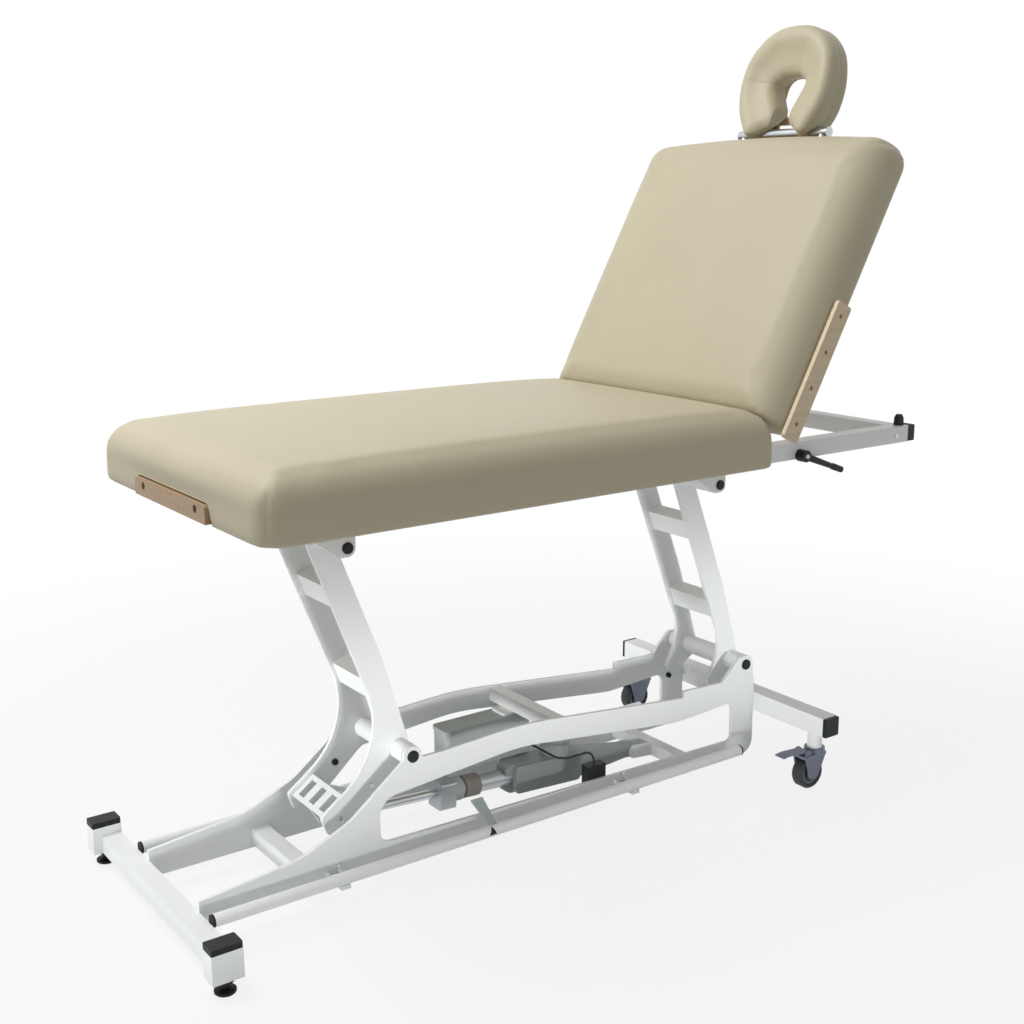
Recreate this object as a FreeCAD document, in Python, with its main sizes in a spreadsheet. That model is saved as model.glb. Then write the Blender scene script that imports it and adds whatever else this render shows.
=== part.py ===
import FreeCAD, Part
import math
import operator
import os
import Sketcher

# Electric massage table with a lift back, in millimetres and degrees.
# Stations run along X from the foot posts' outer face, heights run up from the floor,
# and the table is alike on both sides of the plane Y = 0.
SIZES = {
    "overall_length": 1952,
    "floor_gap": 28,
    "tube_wall": 3,
    "fit_gap": 0.05,
    "soft_gap": 0.3,
    "post_length": 60,
    "post_width": 38,
    "post_height": 57,
    "post_spacing": 602,
    "post_cap_height": 12,
    "foot_pad_radius": 20,
    "foot_beam_setback": 18,
    "foot_beam_width": 40,
    "foot_beam_height": 38,
    "plate_spread": 260,
    "plate_thickness": 8,
    "plate_tail_reach": 30,
    "plate_tail_radius": 35,
    "plate_tail_drop": 60,
    "front_pivot": 525,
    "leg_spacing": 935,
    "pivot_height": 257,
    "boss_radius": 21,
    "nose_height": 86,
    "brow_station": 266,
    "brow_height": 107,
    "knee_station": 380,
    "knee_height": 155,
    "crown_station": 800,
    "crown_height": 261,
    "rear_arch_setback": 198,
    "rear_arch_height": 215,
    "tower_step": 16,
    "tower_setback": 75,
    "window_front": 446,
    "window_setback": 41,
    "window_low_front": 89,
    "window_low_back": 72,
    "window_shoulder": 182,
    "window_crown": 212,
    "window_dip": 160,
    "window_radius": 24,
    "base_shaft_radius": 10,
    "base_cap_radius": 12.5,
    "base_cap_height": 7,
    "front_tube_station": 281,
    "front_tube_width": 36,
    "front_tube_low": 35,
    "front_tube_height": 35,
    "centre_tube_station": 886,
    "centre_tube_side": 30,
    "centre_tube_low": 219,
    "rear_tube_station": 1255,
    "rear_tube_width": 30,
    "rear_tube_low": 40,
    "rear_tube_height": 30,
    "caster_beam_side": 45,
    "caster_beam_low": 135,
    "caster_beam_reach": 352,
    "caster_cap_height": 8,
    "bar_spacing": 358,
    "bar_height": 69,
    "bar_radius": 12.5,
    "bar_start": 65,
    "bar_end": 1396,
    "bar_plug": 4.5,
    "bar_arm_first": 335,
    "bar_arm_second": 1070,
    "bar_arm_width": 20,
    "bar_arm_thickness": 8.5,
    "bar_pivot_offset": 11,
    "bar_pin_radius": 4,
    "ear_thickness": 5,
    "box_station": 705,
    "box_length": 230,
    "box_near": 25,
    "box_depth": 60,
    "box_low": 115,
    "box_high": 205,
    "lid_height": 8,
    "switch_station": 985,
    "switch_length": 50,
    "switch_depth": 24,
    "switch_low": 45,
    "switch_high": 110,
    "cable_radius": 2.5,
    "cable_height": 142,
    "cable_bend": 26,
    "anchor_station": 1205,
    "anchor_height": 62,
    "actuator_tilt": 3.3,
    "actuator_length": 781,
    "actuator_stroke": 180,
    "housing_setback": 163,
    "housing_length": 212,
    "tube_length": 156,
    "rod_radius": 10,
    "cylinder_radius": 20,
    "cylinder_bore": 12,
    "nose_block_length": 40,
    "motor_radius": 34,
    "motor_height": 84,
    "yoke_pin_radius": 10,
    "yoke_hole_radius": 28,
    "yoke_reach": 140,
    "yoke_drop": 95,
    "leg_length": 502,
    "leg_lean": 19.66,
    "leg_spread": 154,
    "leg_plate": 8,
    "leg_head_radius": 27,
    "leg_belly": 35,
    "leg_waist": 17,
    "lever_reach": 208,
    "lever_angle": 16.3,
    "lever_throat_radius": 175,
    "heel_throat_radius": 110,
    "pivot_tube_radius": 22,
    "head_tube_radius": 20,
    "head_tube_reach": 187,
    "rung_upper": 362,
    "rung_lower": 147,
    "rung_height": 48,
    "rung_depth": 36,
    "top_shaft_radius": 10,
    "top_cap_radius": 11,
    "top_cap_height": 5,
    "rail_side": 40,
    "rail_spread": 396,
    "rail_drop": 30,
    "rail_foot": 110,
    "rail_setback": 37,
    "rail_cap": 25,
    "rail_plug": 5,
    "bumper_radius": 12.5,
    "bumper_height": 26,
    "bumper_setback": 12,
    "middle_rail_reach": 824,
    "lug_thickness": 8,
    "lug_radius": 17,
    "lug_gusset": 80,
    "seat_overhang": 251,
    "seat_lap": 12,
    "table_width": 762,
    "cushion_height": 105,
    "cushion_corner": 60,
    "cushion_round": 56,
    "deck_thickness": 15,
    "deck_inset": 6,
    "deck_margin": 9,
    "socket_block_width": 330,
    "head_block_width": 300,
    "socket_block_length": 80,
    "socket_block_low": 4,
    "socket_block_height": 34,
    "socket_block_proud": 7,
    "socket_radius": 8.1,
    "socket_depth": 74,
    "socket_spacing": 245,
    "socket_rise": 21,
    "hinge_reach": 906,
    "hinge_rise": 140,
    "hinge_radius": 11,
    "hinge_pin_radius": 6,
    "hinge_plate": 8,
    "hinge_inner": 168,
    "hinge_slot_margin": 3,
    "back_angle": 61,
    "back_rest_gap": 0.6,
    "back_start": 16,
    "back_length": 686,
    "strip_start": 6,
    "strip_length": 314,
    "strip_height": 44,
    "strip_thickness": 10,
    "strip_low": 6.5,
    "strip_hole_radius": 4.5,
    "strip_hole_first": 37,
    "strip_hole_pitch": 82.8,
    "spring_radius": 180,
    "spring_drop": 30,
    "spring_swing": 65,
    "spring_side": 235,
    "spring_body_radius": 11,
    "spring_rod_radius": 4,
    "spring_body_end": 176,
    "spring_rod_length": 168,
    "spring_eye_radius": 9,
    "spring_pin_radius": 5,
    "release_offset": 280,
    "release_rise": 39,
    "release_angle": 20,
    "release_length": 142,
    "release_hub_radius": 14,
    "face_bar_offset": 37,
    "face_bar_radius": 12,
    "face_bar_length": 280,
    "dowel_radius": 8,
    "dowel_length": 106,
    "face_tilt": 19,
    "face_start": 19,
    "face_shoulder": 76,
    "knuckle_reach": 86,
    "knuckle_width": 24,
    "face_length": 228,
    "face_half_width": 136,
    "face_hole": 48,
    "face_slit": 18,
    "face_low": -38,
    "face_thickness": 76,
    "platform_thickness": 10,
    "caster_spacing": 620,
    "caster_trail": 22,
    "wheel_radius": 37.5,
    "wheel_width": 30,
    "fork_gap": 2,
    "fork_plate": 4,
    "hood_gap": 4,
    "stem_radius": 10,
    "axle_radius": 5,
    "socket_wall": 7,
    "pedal_reach": 79,
    "pedal_pin_radius": 3,
}

doc = FreeCAD.newDocument("massage_table")
sheet = doc.addObject("Spreadsheet::Sheet", "dims")
for row, (alias, number) in enumerate(SIZES.items(), 1):
    sheet.set("A%d" % row, alias.replace("_", " "))
    sheet.set("B%d" % row, str(number))
    sheet.setAlias("B%d" % row, alias)
doc.recompute()

OPERATIONS = {"+": operator.add, "-": operator.sub, "*": operator.mul, "/": operator.truediv}


class Size:
    # a number together with the sheet formula that gives it
    def __init__(self, value, text):
        self.value = float(value)
        self.text = text

    def __add__(self, other):
        return joined(self, "+", other)

    def __radd__(self, other):
        return joined(other, "+", self)

    def __sub__(self, other):
        return joined(self, "-", other)

    def __rsub__(self, other):
        return joined(other, "-", self)

    def __mul__(self, other):
        return joined(self, "*", other)

    def __rmul__(self, other):
        return joined(other, "*", self)

    def __truediv__(self, other):
        return joined(self, "/", other)

    def __neg__(self):
        return joined(0, "-", self)


def as_size(thing):
    return thing if isinstance(thing, Size) else Size(thing, "(%r)" % float(thing))


def joined(first, sign, second):
    first, second = as_size(first), as_size(second)
    value = OPERATIONS[sign](first.value, second.value)
    return Size(value, "(%s %s %s)" % (first.text, sign, second.text))


def sine(angle):
    return Size(math.sin(math.radians(angle.value)), "sin(%s)" % angle.text)


def cosine(angle):
    return Size(math.cos(math.radians(angle.value)), "cos(%s)" % angle.text)


class Named:
    pass


d = Named()
for alias, number in SIZES.items():
    setattr(d, alias, Size(number, "dims.%s" % alias))


class Frame:
    # where a group of pieces stands, and how far it is turned about -Y
    def __init__(self, x, z, turn=None):
        self.x, self.z, self.turn = as_size(x), as_size(z), turn

    def within(self, along, up, turn=None):
        if self.turn is None:
            return Frame(self.x + along, self.z + up, turn)
        across, rise = cosine(self.turn), sine(self.turn)
        x = self.x + along * across - up * rise
        z = self.z + along * rise + up * across
        return Frame(x, z, self.turn if turn is None else self.turn + turn)


def bind(feature, path, size):
    feature.setExpression(path, as_size(size).text)


def new_body(label, frame):
    body = doc.addObject("PartDesign::Body", label)
    body.Label = label
    turn = FreeCAD.Rotation(FreeCAD.Vector(0, -1, 0), frame.turn.value if frame.turn else 0)
    body.Placement = FreeCAD.Placement(FreeCAD.Vector(frame.x.value, 0, frame.z.value), turn)
    bind(body, "Placement.Base.x", frame.x)
    bind(body, "Placement.Base.z", frame.z)
    if frame.turn:
        bind(body, "Placement.Rotation.Angle", frame.turn)
    return body


def new_sketch(body, plane):
    sketch = body.newObject("Sketcher::SketchObject", body.Name + "_sketch")
    for feature in body.Origin.OriginFeatures:
        if feature.Role == plane:
            sketch.AttachmentSupport = [(feature, "")]
    sketch.MapMode = "FlatFace"
    return sketch


def pin_down(sketch, geometry, point, u, v):
    for size, kind, axis in ((as_size(u), "DistanceX", -2), (as_size(v), "DistanceY", -1)):
        if size.text == "(0.0)":
            sketch.addConstraint(Sketcher.Constraint("PointOnObject", geometry, point, axis))
        else:
            spot = sketch.addConstraint(Sketcher.Constraint(kind, -1, 1, geometry, point, size.value))
            bind(sketch, "Constraints[%d]" % spot, size)


def draw_loop(sketch, points):
    corners = [FreeCAD.Vector(as_size(p[0]).value, as_size(p[1]).value, 0) for p in points]
    ends = corners[1:] + corners[:1]
    lines = [sketch.addGeometry(Part.LineSegment(a, b), False) for a, b in zip(corners, ends)]
    for line, following in zip(lines, lines[1:] + lines[:1]):
        sketch.addConstraint(Sketcher.Constraint("Coincident", line, 2, following, 1))
    for line, point in zip(lines, points):
        pin_down(sketch, line, 1, point[0], point[1])


def draw_circle(sketch, u, v, radius):
    centre = FreeCAD.Vector(as_size(u).value, as_size(v).value, 0)
    circle = sketch.addGeometry(Part.Circle(centre, FreeCAD.Vector(0, 0, 1), as_size(radius).value), False)
    pin_down(sketch, circle, 3, u, v)
    spot = sketch.addConstraint(Sketcher.Constraint("Radius", circle, as_size(radius).value))
    bind(sketch, "Constraints[%d]" % spot, radius)


def draw(body, plane, loops, circles, start):
    sketch = new_sketch(body, plane)
    bind(sketch, "AttachmentOffset.Base.z", -start if plane == "XZ_Plane" else start)
    for loop in loops:
        draw_loop(sketch, loop)
    for circle in circles:
        draw_circle(sketch, *circle)
    return sketch


FLAT = {"XY_Plane": "xy", "XZ_Plane": "xz", "YZ_Plane": "yz"}


def round_edges(body, radius, chosen):
    doc.recompute()
    before = body.Tip
    names = ["Edge%d" % n for n, edge in enumerate(before.Shape.Edges, 1) if chosen(edge)]
    fillet = body.newObject("PartDesign::Fillet", body.Name + "_round")
    fillet.Base = (before, names)
    bind(fillet, "Radius", radius)
    body.Tip = fillet
    doc.recompute()


def round_corners(body, plane, loops):
    # an outline point may carry a third value, the radius of its corner
    first, second = FLAT[plane]
    radii = {}
    for loop in loops:
        for point in loop:
            if len(point) > 2:
                radius = as_size(point[2])
                spot = (as_size(point[0]).value, as_size(point[1]).value)
                radii.setdefault(radius.text, (radius, []))[1].append(spot)
    for radius, spots in radii.values():
        def at_corner(edge, spots=spots):
            ends = [vertex.Point for vertex in edge.Vertexes]
            if len(ends) != 2:
                return False
            spread = [(getattr(end, first), getattr(end, second)) for end in ends]
            return any(all(abs(a - u) + abs(b - v) < 0.02 for a, b in spread) for u, v in spots)
        round_edges(body, radius, at_corner)


def add_pad(body, plane, loops, low, high, circles=()):
    low, high = as_size(low), as_size(high)
    pad = body.newObject("PartDesign::Pad", body.Name + "_pad")
    pad.Profile = draw(body, plane, loops, circles, low)
    bind(pad, "Length", high - low)
    pad.Reversed = plane == "XZ_Plane"
    body.Tip = pad
    round_corners(body, plane, loops)
    return body


def cut(body, plane, loops, low, high, circles=()):
    low, high = as_size(low), as_size(high)
    pocket = body.newObject("PartDesign::Pocket", body.Name + "_pocket")
    pocket.Profile = draw(body, plane, loops, circles, low)
    bind(pocket, "Length", high - low)
    pocket.Reversed = plane != "XZ_Plane"
    body.Tip = pocket
    doc.recompute()
    return body


def prism(label, plane, loops, low, high, frame, circles=()):
    return add_pad(new_body(label, frame), plane, loops, low, high, circles)


def add_turned(body, axis, profile, centre=(0, 0, 0)):
    # the profile is a closed outline of (distance along the axis, radius) points
    sketch = new_sketch(body, "XZ_Plane" if axis == "Z" else "XY_Plane")
    x, y, z = [as_size(value) for value in centre]
    offset = (x, z, -y) if axis == "Z" else (x, y, z)
    for name, size in zip("xyz", offset):
        bind(sketch, "AttachmentOffset.Base.%s" % name, size)
    draw_loop(sketch, profile if axis == "X" else [(radius, along) for along, radius in profile])
    turned_solid = body.newObject("PartDesign::Revolution", body.Name + "_turned")
    turned_solid.Profile = sketch
    turned_solid.ReferenceAxis = (sketch, ["H_Axis" if axis == "X" else "V_Axis"])
    turned_solid.Angle = 360
    body.Tip = turned_solid
    doc.recompute()
    return body


def turned(label, axis, profile, frame, centre=(0, 0, 0)):
    return add_turned(new_body(label, frame), axis, profile, centre)


def ring(low, high, outer, inner=0):
    return [(low, inner), (high, inner), (high, outer), (low, outer)]


def box(u_low, u_high, v_low, v_high, radius=None):
    corners = [(u_low, v_low), (u_high, v_low), (u_high, v_high), (u_low, v_high)]
    return [corner + (radius,) for corner in corners] if radius is not None else corners


def tube_loops(u_low, u_high, v_low, v_high):
    wall = d.tube_wall
    return [box(u_low, u_high, v_low, v_high),
            box(u_low + wall, u_high - wall, v_low + wall, v_high - wall)]


def mirrored(source, label=None):
    copy = doc.addObject("Part::Mirroring", label or source.Name + "_mirrored")
    copy.Source = source
    copy.Normal = FreeCAD.Vector(0, 1, 0)
    if label:
        copy.Label = label
    return copy


def group(label, members):
    whole = doc.addObject("Part::Compound", label)
    whole.Label = label
    whole.Links = members
    return whole


def both_sides(label, members):
    return group(label, members + [mirrored(member) for member in members])


nodes = []


def keep(*finished):
    nodes.extend(finished)


# Frames of the base, the legs, the top, the back and the lift actuator
base = Frame(-d.overall_length / 2, 0)
front_leg = base.within(d.front_pivot, d.pivot_height, d.leg_lean)
rear_leg = base.within(d.front_pivot + d.leg_spacing, d.pivot_height, d.leg_lean)
top_shift = -d.leg_length * sine(d.leg_lean)
top_rise = d.leg_length * cosine(d.leg_lean)
top = base.within(d.front_pivot + top_shift, d.pivot_height + top_rise)
back = top.within(d.hinge_reach, d.hinge_rise, d.back_angle)
actuator = base.within(d.anchor_station, d.anchor_height, -d.actuator_tilt)

# Side plates: an arched beam over a long window, with a boss at each leg pivot
rear_pivot = d.front_pivot + d.leg_spacing
plate_tail = rear_pivot + d.plate_tail_reach
tower_foot = rear_pivot - d.tower_setback
rear_arch = rear_pivot - d.rear_arch_setback
window_back = rear_pivot - d.window_setback
boss = d.boss_radius
boss_round = boss - 0.5
plate_outer = d.plate_spread / 2
plate_inner = plate_outer - d.plate_thickness
post_back = d.foot_beam_setback + d.foot_beam_width
side_outline = [
    (post_back, d.floor_gap),
    (plate_tail, d.floor_gap, d.plate_tail_radius),
    (plate_tail, d.pivot_height - d.plate_tail_drop),
    (rear_pivot + boss, d.pivot_height + boss, boss_round),
    (rear_pivot - boss, d.pivot_height + boss, boss_round),
    (tower_foot, d.rear_arch_height + d.tower_step - 4, 22),
    (rear_arch, d.rear_arch_height + d.tower_step),
    (rear_arch, d.rear_arch_height),
    (d.crown_station, d.crown_height, 900),
    (d.front_pivot + boss + 50, d.crown_height - 11),
    (d.front_pivot + boss, d.crown_height - 11, 6),
    (d.front_pivot + boss, d.pivot_height + boss, boss_round),
    (d.front_pivot - boss, d.pivot_height + boss, boss_round),
    (d.front_pivot - boss, d.pivot_height - 6, 12),
    (d.knee_station, d.knee_height, 120),
    (d.brow_station, d.brow_height, 160),
    (post_back, d.nose_height),
]
side_window = [
    (d.window_front, d.window_low_front, d.window_radius),
    (window_back, d.window_low_back, d.window_radius * 0.6),
    (window_back, d.window_dip + 10, d.window_radius * 0.75),
    (rear_arch - 20, d.window_dip, 220),
    (d.crown_station - 10, d.window_crown, 500),
    (d.window_front, d.window_shoulder, d.window_radius + 16),
]
pivot_hole = d.base_shaft_radius + d.fit_gap
plate_holes = [(d.front_pivot, d.pivot_height, pivot_hole), (rear_pivot, d.pivot_height, pivot_hole)]
side_plate_near = prism("side_plate_near", "XZ_Plane", [side_outline, side_window],
                        -plate_outer, -plate_inner, base, plate_holes)
keep(side_plate_near, mirrored(side_plate_near, "side_plate_far"))

# Foot beam between two posts, and the cross tubes between the side plates
post_inner = d.post_spacing / 2 - d.post_width / 2
post_outer = d.post_spacing / 2 + d.post_width / 2
post_top = d.floor_gap + d.post_height
beam_top = d.floor_gap + d.foot_beam_height
keep(prism("foot_beam", "XZ_Plane", tube_loops(d.foot_beam_setback, post_back, d.floor_gap, beam_top),
           -post_inner, post_inner, base))
post = prism("foot_post", "XY_Plane", tube_loops(0, d.post_length, post_inner, post_outer),
             d.floor_gap, post_top, base)
keep(both_sides("foot_posts", [post]))
front_tube = prism("front_tube", "XZ_Plane",
                   tube_loops(d.front_tube_station, d.front_tube_station + d.front_tube_width,
                              d.front_tube_low, d.front_tube_low + d.front_tube_height),
                   -plate_inner, plate_inner, base)
centre_tube = prism("centre_tube", "XZ_Plane",
                    tube_loops(d.centre_tube_station, d.centre_tube_station + d.centre_tube_side,
                               d.centre_tube_low, d.centre_tube_low + d.centre_tube_side),
                    -plate_inner, plate_inner, base)
rear_tube = prism("rear_tube", "XZ_Plane",
                  tube_loops(d.rear_tube_station, d.rear_tube_station + d.rear_tube_width,
                             d.rear_tube_low, d.rear_tube_low + d.rear_tube_height),
                  -plate_inner, plate_inner, base)
keep(group("base_cross_tubes", [front_tube, centre_tube, rear_tube]))
beam_head = plate_tail + d.caster_beam_side
caster_beam_top = d.caster_beam_low + d.caster_beam_side
keep(prism("caster_beam", "XZ_Plane", tube_loops(plate_tail, beam_head, d.caster_beam_low,
                                                 caster_beam_top),
           -d.caster_beam_reach, d.caster_beam_reach, base))

# Black caps on the posts and on the caster beam's ends, and the two levelling feet
post_cap = prism("post_cap", "XY_Plane", [box(0, d.post_length, post_inner, post_outer, 3)],
                 post_top, post_top + d.post_cap_height, base)
beam_cap = prism("beam_cap", "XZ_Plane", [box(plate_tail, beam_head, d.caster_beam_low, caster_beam_top, 3)],
                 d.caster_beam_reach, d.caster_beam_reach + d.caster_cap_height, base)
keep(both_sides("base_end_caps", [post_cap, beam_cap]))
pad = d.foot_pad_radius
foot = turned("levelling_foot", "Z",
              [(0, 0), (0, pad - 2), (2, pad), (6, pad), (10, pad * 0.4), (d.floor_gap - 6, pad * 0.4),
               (d.floor_gap - 6, pad * 0.85), (d.floor_gap, pad * 0.85), (d.floor_gap, 0)],
              base, (d.post_length / 2, d.post_spacing / 2, 0))
keep(both_sides("levelling_feet", [foot]))

# Leg pivots in the side plates: through shafts and domed black caps
shaft_profile = ring(-plate_outer, plate_outer, d.base_shaft_radius)
cap = d.base_cap_radius
cap_profile = [(plate_outer, 0), (plate_outer, cap), (plate_outer + d.base_cap_height - 3, cap),
               (plate_outer + d.base_cap_height, cap - 3), (plate_outer + d.base_cap_height, 0)]
shafts, caps = [], []
for station in (d.front_pivot, rear_pivot):
    centre = (station, 0, d.pivot_height)
    shafts.append(turned("base_shaft", "Y", shaft_profile, base, centre))
    caps.append(turned("base_cap", "Y", cap_profile, base, centre))
keep(group("base_pivot_shafts", shafts), both_sides("base_pivot_caps", caps))

# Control box under the centre tube, with its lid, hanger and mains inlet
box_end = d.box_station + d.box_length
box_far = d.box_near + d.box_depth
box_mid = d.box_near + d.box_depth / 2
lid_top = d.box_high + d.lid_height
keep(prism("control_box", "XY_Plane", [box(d.box_station, box_end, d.box_near, box_far, 12)],
           d.box_low, d.box_high, base))
keep(prism("control_box_lid", "XY_Plane", [box(d.box_station - 2, box_end + 2, d.box_near - 2, box_far + 2,
                                               13)],
           d.box_high, lid_top, base))
keep(prism("box_hanger", "XY_Plane", [box(d.centre_tube_station - 24, d.centre_tube_station + 44,
                                          d.box_near + 4, box_far - 4, 6)],
           lid_top, d.centre_tube_low, base))
inlet = prism("power_inlet", "YZ_Plane", [box(box_mid - 15, box_mid + 15, d.box_low + 20, d.box_low + 44,
                                              4)],
              box_end, box_end + 7, base)
cut(inlet, "YZ_Plane", [box(box_mid - 12, box_mid + 12, d.box_low + 23, d.box_low + 41)], box_end + 2,
    box_end + 8)
keep(inlet)

# Foot switch on the near plate, and its cable from the control box
switch_end = d.switch_station + d.switch_length
switch_mid = d.switch_station + d.switch_length / 2
switch_face = -plate_inner + d.switch_depth
keep(prism("foot_switch", "XY_Plane", [box(d.switch_station, switch_end, -plate_inner, switch_face)],
           d.switch_low, d.switch_high, base))


def bent_wire(points, radius):
    edges = []
    start = points[0]
    for before, corner, after in zip(points, points[1:], points[2:]):
        inward = (before - corner).normalize()
        onward = (after - corner).normalize()
        half = inward.getAngle(onward) / 2
        first = corner + inward * (radius / math.tan(half))
        last = corner + onward * (radius / math.tan(half))
        bisector = (inward + onward).normalize()
        middle = corner + bisector * (radius / math.sin(half) - radius)
        edges.append(Part.LineSegment(start, first).toShape())
        edges.append(Part.Arc(first, middle, last).toShape())
        start = last
    edges.append(Part.LineSegment(start, points[-1]).toShape())
    return Part.Wire(edges)


# The cable's bends lie in two planes, so it is swept along one wire
cable_side = -plate_inner + d.switch_depth / 2
cable_exit = box_end - 18
cable_route = [(cable_exit, d.box_near, d.cable_height), (cable_exit, cable_side, d.cable_height),
               (switch_mid, cable_side, d.cable_height), (switch_mid, cable_side, d.switch_high)]
cable_points = [FreeCAD.Vector(x.value + base.x.value, y.value, z.value) for x, y, z in cable_route]
cable_path = bent_wire(cable_points, d.cable_bend.value)
cable_end = Part.Wire(Part.makeCircle(d.cable_radius.value, cable_points[0], FreeCAD.Vector(0, -1, 0)))
switch_cable = doc.addObject("Part::Feature", "switch_cable")
switch_cable.Label = "switch_cable"
switch_cable.Shape = cable_path.makePipeShell([cable_end], True, True)
keep(switch_cable)

# Foot bars along both sides, rocking on ears that stand out from the side plates
bar_side = d.bar_spacing / 2
bar_low = d.bar_height - d.bar_radius
arm_top = bar_low + 1
arm_low = arm_top - d.bar_arm_thickness
bar_pivot = plate_outer + d.bar_pivot_offset
bar_pivot_height = (arm_top + arm_low) / 2
bar_near = new_body("foot_bar_near", base)
add_pad(bar_near, "YZ_Plane", [], d.bar_start, d.bar_end,
        [(-bar_side, d.bar_height, d.bar_radius), (-bar_side, d.bar_height, d.bar_radius - 2)])
ears, pins = [], []
for station in (d.bar_arm_first, d.bar_arm_second):
    arm_start = station - d.bar_arm_width / 2
    arm_end = station + d.bar_arm_width / 2
    add_pad(bar_near, "YZ_Plane", [box(-bar_side - 8, 8 - bar_pivot, arm_low, arm_top)], arm_start, arm_end)
    cut(bar_near, "YZ_Plane", [], arm_start - 1, arm_end + 1,
        [(-bar_pivot, bar_pivot_height, d.bar_pin_radius + d.fit_gap)])
    for low in (arm_start - 1 - d.ear_thickness, arm_end + 1):
        ears.append(prism("bar_ear", "YZ_Plane",
                          [[(-plate_outer, bar_pivot_height - 14), (-plate_outer, bar_pivot_height + 14),
                            (-bar_pivot - 9, bar_pivot_height + 9, 8),
                            (-bar_pivot - 9, bar_pivot_height - 9, 8)]],
                          low, low + d.ear_thickness, base,
                          [(-bar_pivot, bar_pivot_height, d.bar_pin_radius + d.fit_gap)]))
    pin_start = arm_start - 1 - d.ear_thickness
    pin_end = arm_end + 1 + d.ear_thickness
    pins.append(turned("bar_pin", "X",
                       [(pin_start - 5, 0), (pin_end + 5, 0), (pin_end + 5, d.bar_pin_radius + 3),
                        (pin_end, d.bar_pin_radius + 3), (pin_end, d.bar_pin_radius),
                        (pin_start, d.bar_pin_radius), (pin_start, d.bar_pin_radius + 3),
                        (pin_start - 5, d.bar_pin_radius + 3)],
                       base, (0, -bar_pivot, bar_pivot_height)))
keep(bar_near, mirrored(bar_near, "foot_bar_far"))
plugs = []
for low in (d.bar_start - d.bar_plug, d.bar_end):
    plugs.append(turned("bar_plug", "X", ring(low, low + d.bar_plug, d.bar_radius), base,
                        (0, -bar_side, d.bar_height)))
plugs_near = group("foot_bar_near_plugs", plugs)
keep(plugs_near, mirrored(plugs_near, "foot_bar_far_plugs"))
keep(both_sides("foot_bar_brackets", ears), both_sides("bracket_bolts", pins))

# Lift actuator: anchor on the rear tube, gear housing with its motor, tube and rod
anchor_gap = 19
anchor_pin = 8
anchor_plates = prism("anchor_plates", "XZ_Plane",
                      [[(d.rear_tube_station, d.rear_tube_low), (d.rear_tube_station, d.rear_tube_low + 30),
                        (d.anchor_station - 16, d.anchor_height + 16, 15),
                        (d.anchor_station - 16, d.anchor_height - 16, 15)]],
                      -anchor_gap - 6, -anchor_gap, base,
                      [(d.anchor_station, d.anchor_height, anchor_pin + d.fit_gap)])
anchor_bolt = turned("anchor_bolt", "Y", ring(-anchor_gap - 9, anchor_gap + 9, anchor_pin), base,
                     (d.anchor_station, 0, d.anchor_height))
keep(group("actuator_anchor", [anchor_plates, mirrored(anchor_plates), anchor_bolt]))
housing_rear = -d.housing_setback
housing_front = housing_rear - d.housing_length
tube_rear = housing_rear - 44
piston_end = tube_rear - d.actuator_stroke - 6
tube_front = piston_end - d.tube_length
cylinder = d.cylinder_radius
housing = prism("actuator_housing", "XZ_Plane",
                [[(housing_front, -cylinder - 5, 4), (housing_front + 14, -cylinder - 13, 8),
                  (housing_rear, -cylinder - 13, 14), (-26, -14), (0, -14, 13.9), (14, -14, 13.9),
                  (14, 14, 13.9), (-26, 14), (housing_rear, cylinder + 13, 14),
                  (housing_front + 14, cylinder + 13, 8), (housing_front, cylinder + 5, 4)]],
                -anchor_gap + 0.5, anchor_gap - 0.5, actuator)
add_pad(housing, "XZ_Plane",
        [box(housing_front + 20, housing_rear - 8, -cylinder - 12, cylinder + 12, 10)],
        -cylinder - 14, cylinder + 14)
cut(housing, "XZ_Plane", [], -anchor_gap, anchor_gap, [(0, 0, anchor_pin + d.fit_gap)])
cut(housing, "YZ_Plane", [], housing_front - 1, tube_rear, [(0, 0, cylinder + d.fit_gap)])
motor_middle = housing_rear - 62
add_turned(housing, "Z", [(cylinder + 6, 0), (cylinder + 6, d.motor_radius),
                          (cylinder + d.motor_height, d.motor_radius),
                          (cylinder + d.motor_height + 6, d.motor_radius - 6),
                          (cylinder + d.motor_height + 6, 0)],
           (motor_middle, 0, 0))
keep(housing)
bore = d.cylinder_bore
lift_tube = turned("actuator_tube", "X",
                   [(tube_rear, 0), (tube_rear, cylinder), (tube_front, cylinder),
                    (tube_front, d.rod_radius + d.fit_gap), (tube_front + 10, d.rod_radius + d.fit_gap),
                    (tube_front + 10, bore), (tube_rear - 4, bore), (tube_rear - 4, 0)], actuator)
add_pad(lift_tube, "YZ_Plane", [box(-25, 25, -34, 26, 5)], tube_front, tube_front + d.nose_block_length,
        [(0, 0, cylinder - 2)])
keep(lift_tube)
lift_rod = turned("actuator_rod", "X",
                  [(14 - d.actuator_length, 0), (14 - d.actuator_length, d.rod_radius),
                   (piston_end - 10, d.rod_radius),
                   (piston_end - 10, bore - d.fit_gap), (piston_end, bore - d.fit_gap), (piston_end, 0)],
                  actuator)
add_pad(lift_rod, "XZ_Plane", [box(-d.actuator_length - 16, -d.actuator_length + 22, -16, 16, 5)], -14, 14)
add_turned(lift_rod, "Y", ring(-36, 36, d.yoke_pin_radius), (-d.actuator_length, 0, 0))
keep(lift_rod)

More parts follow.
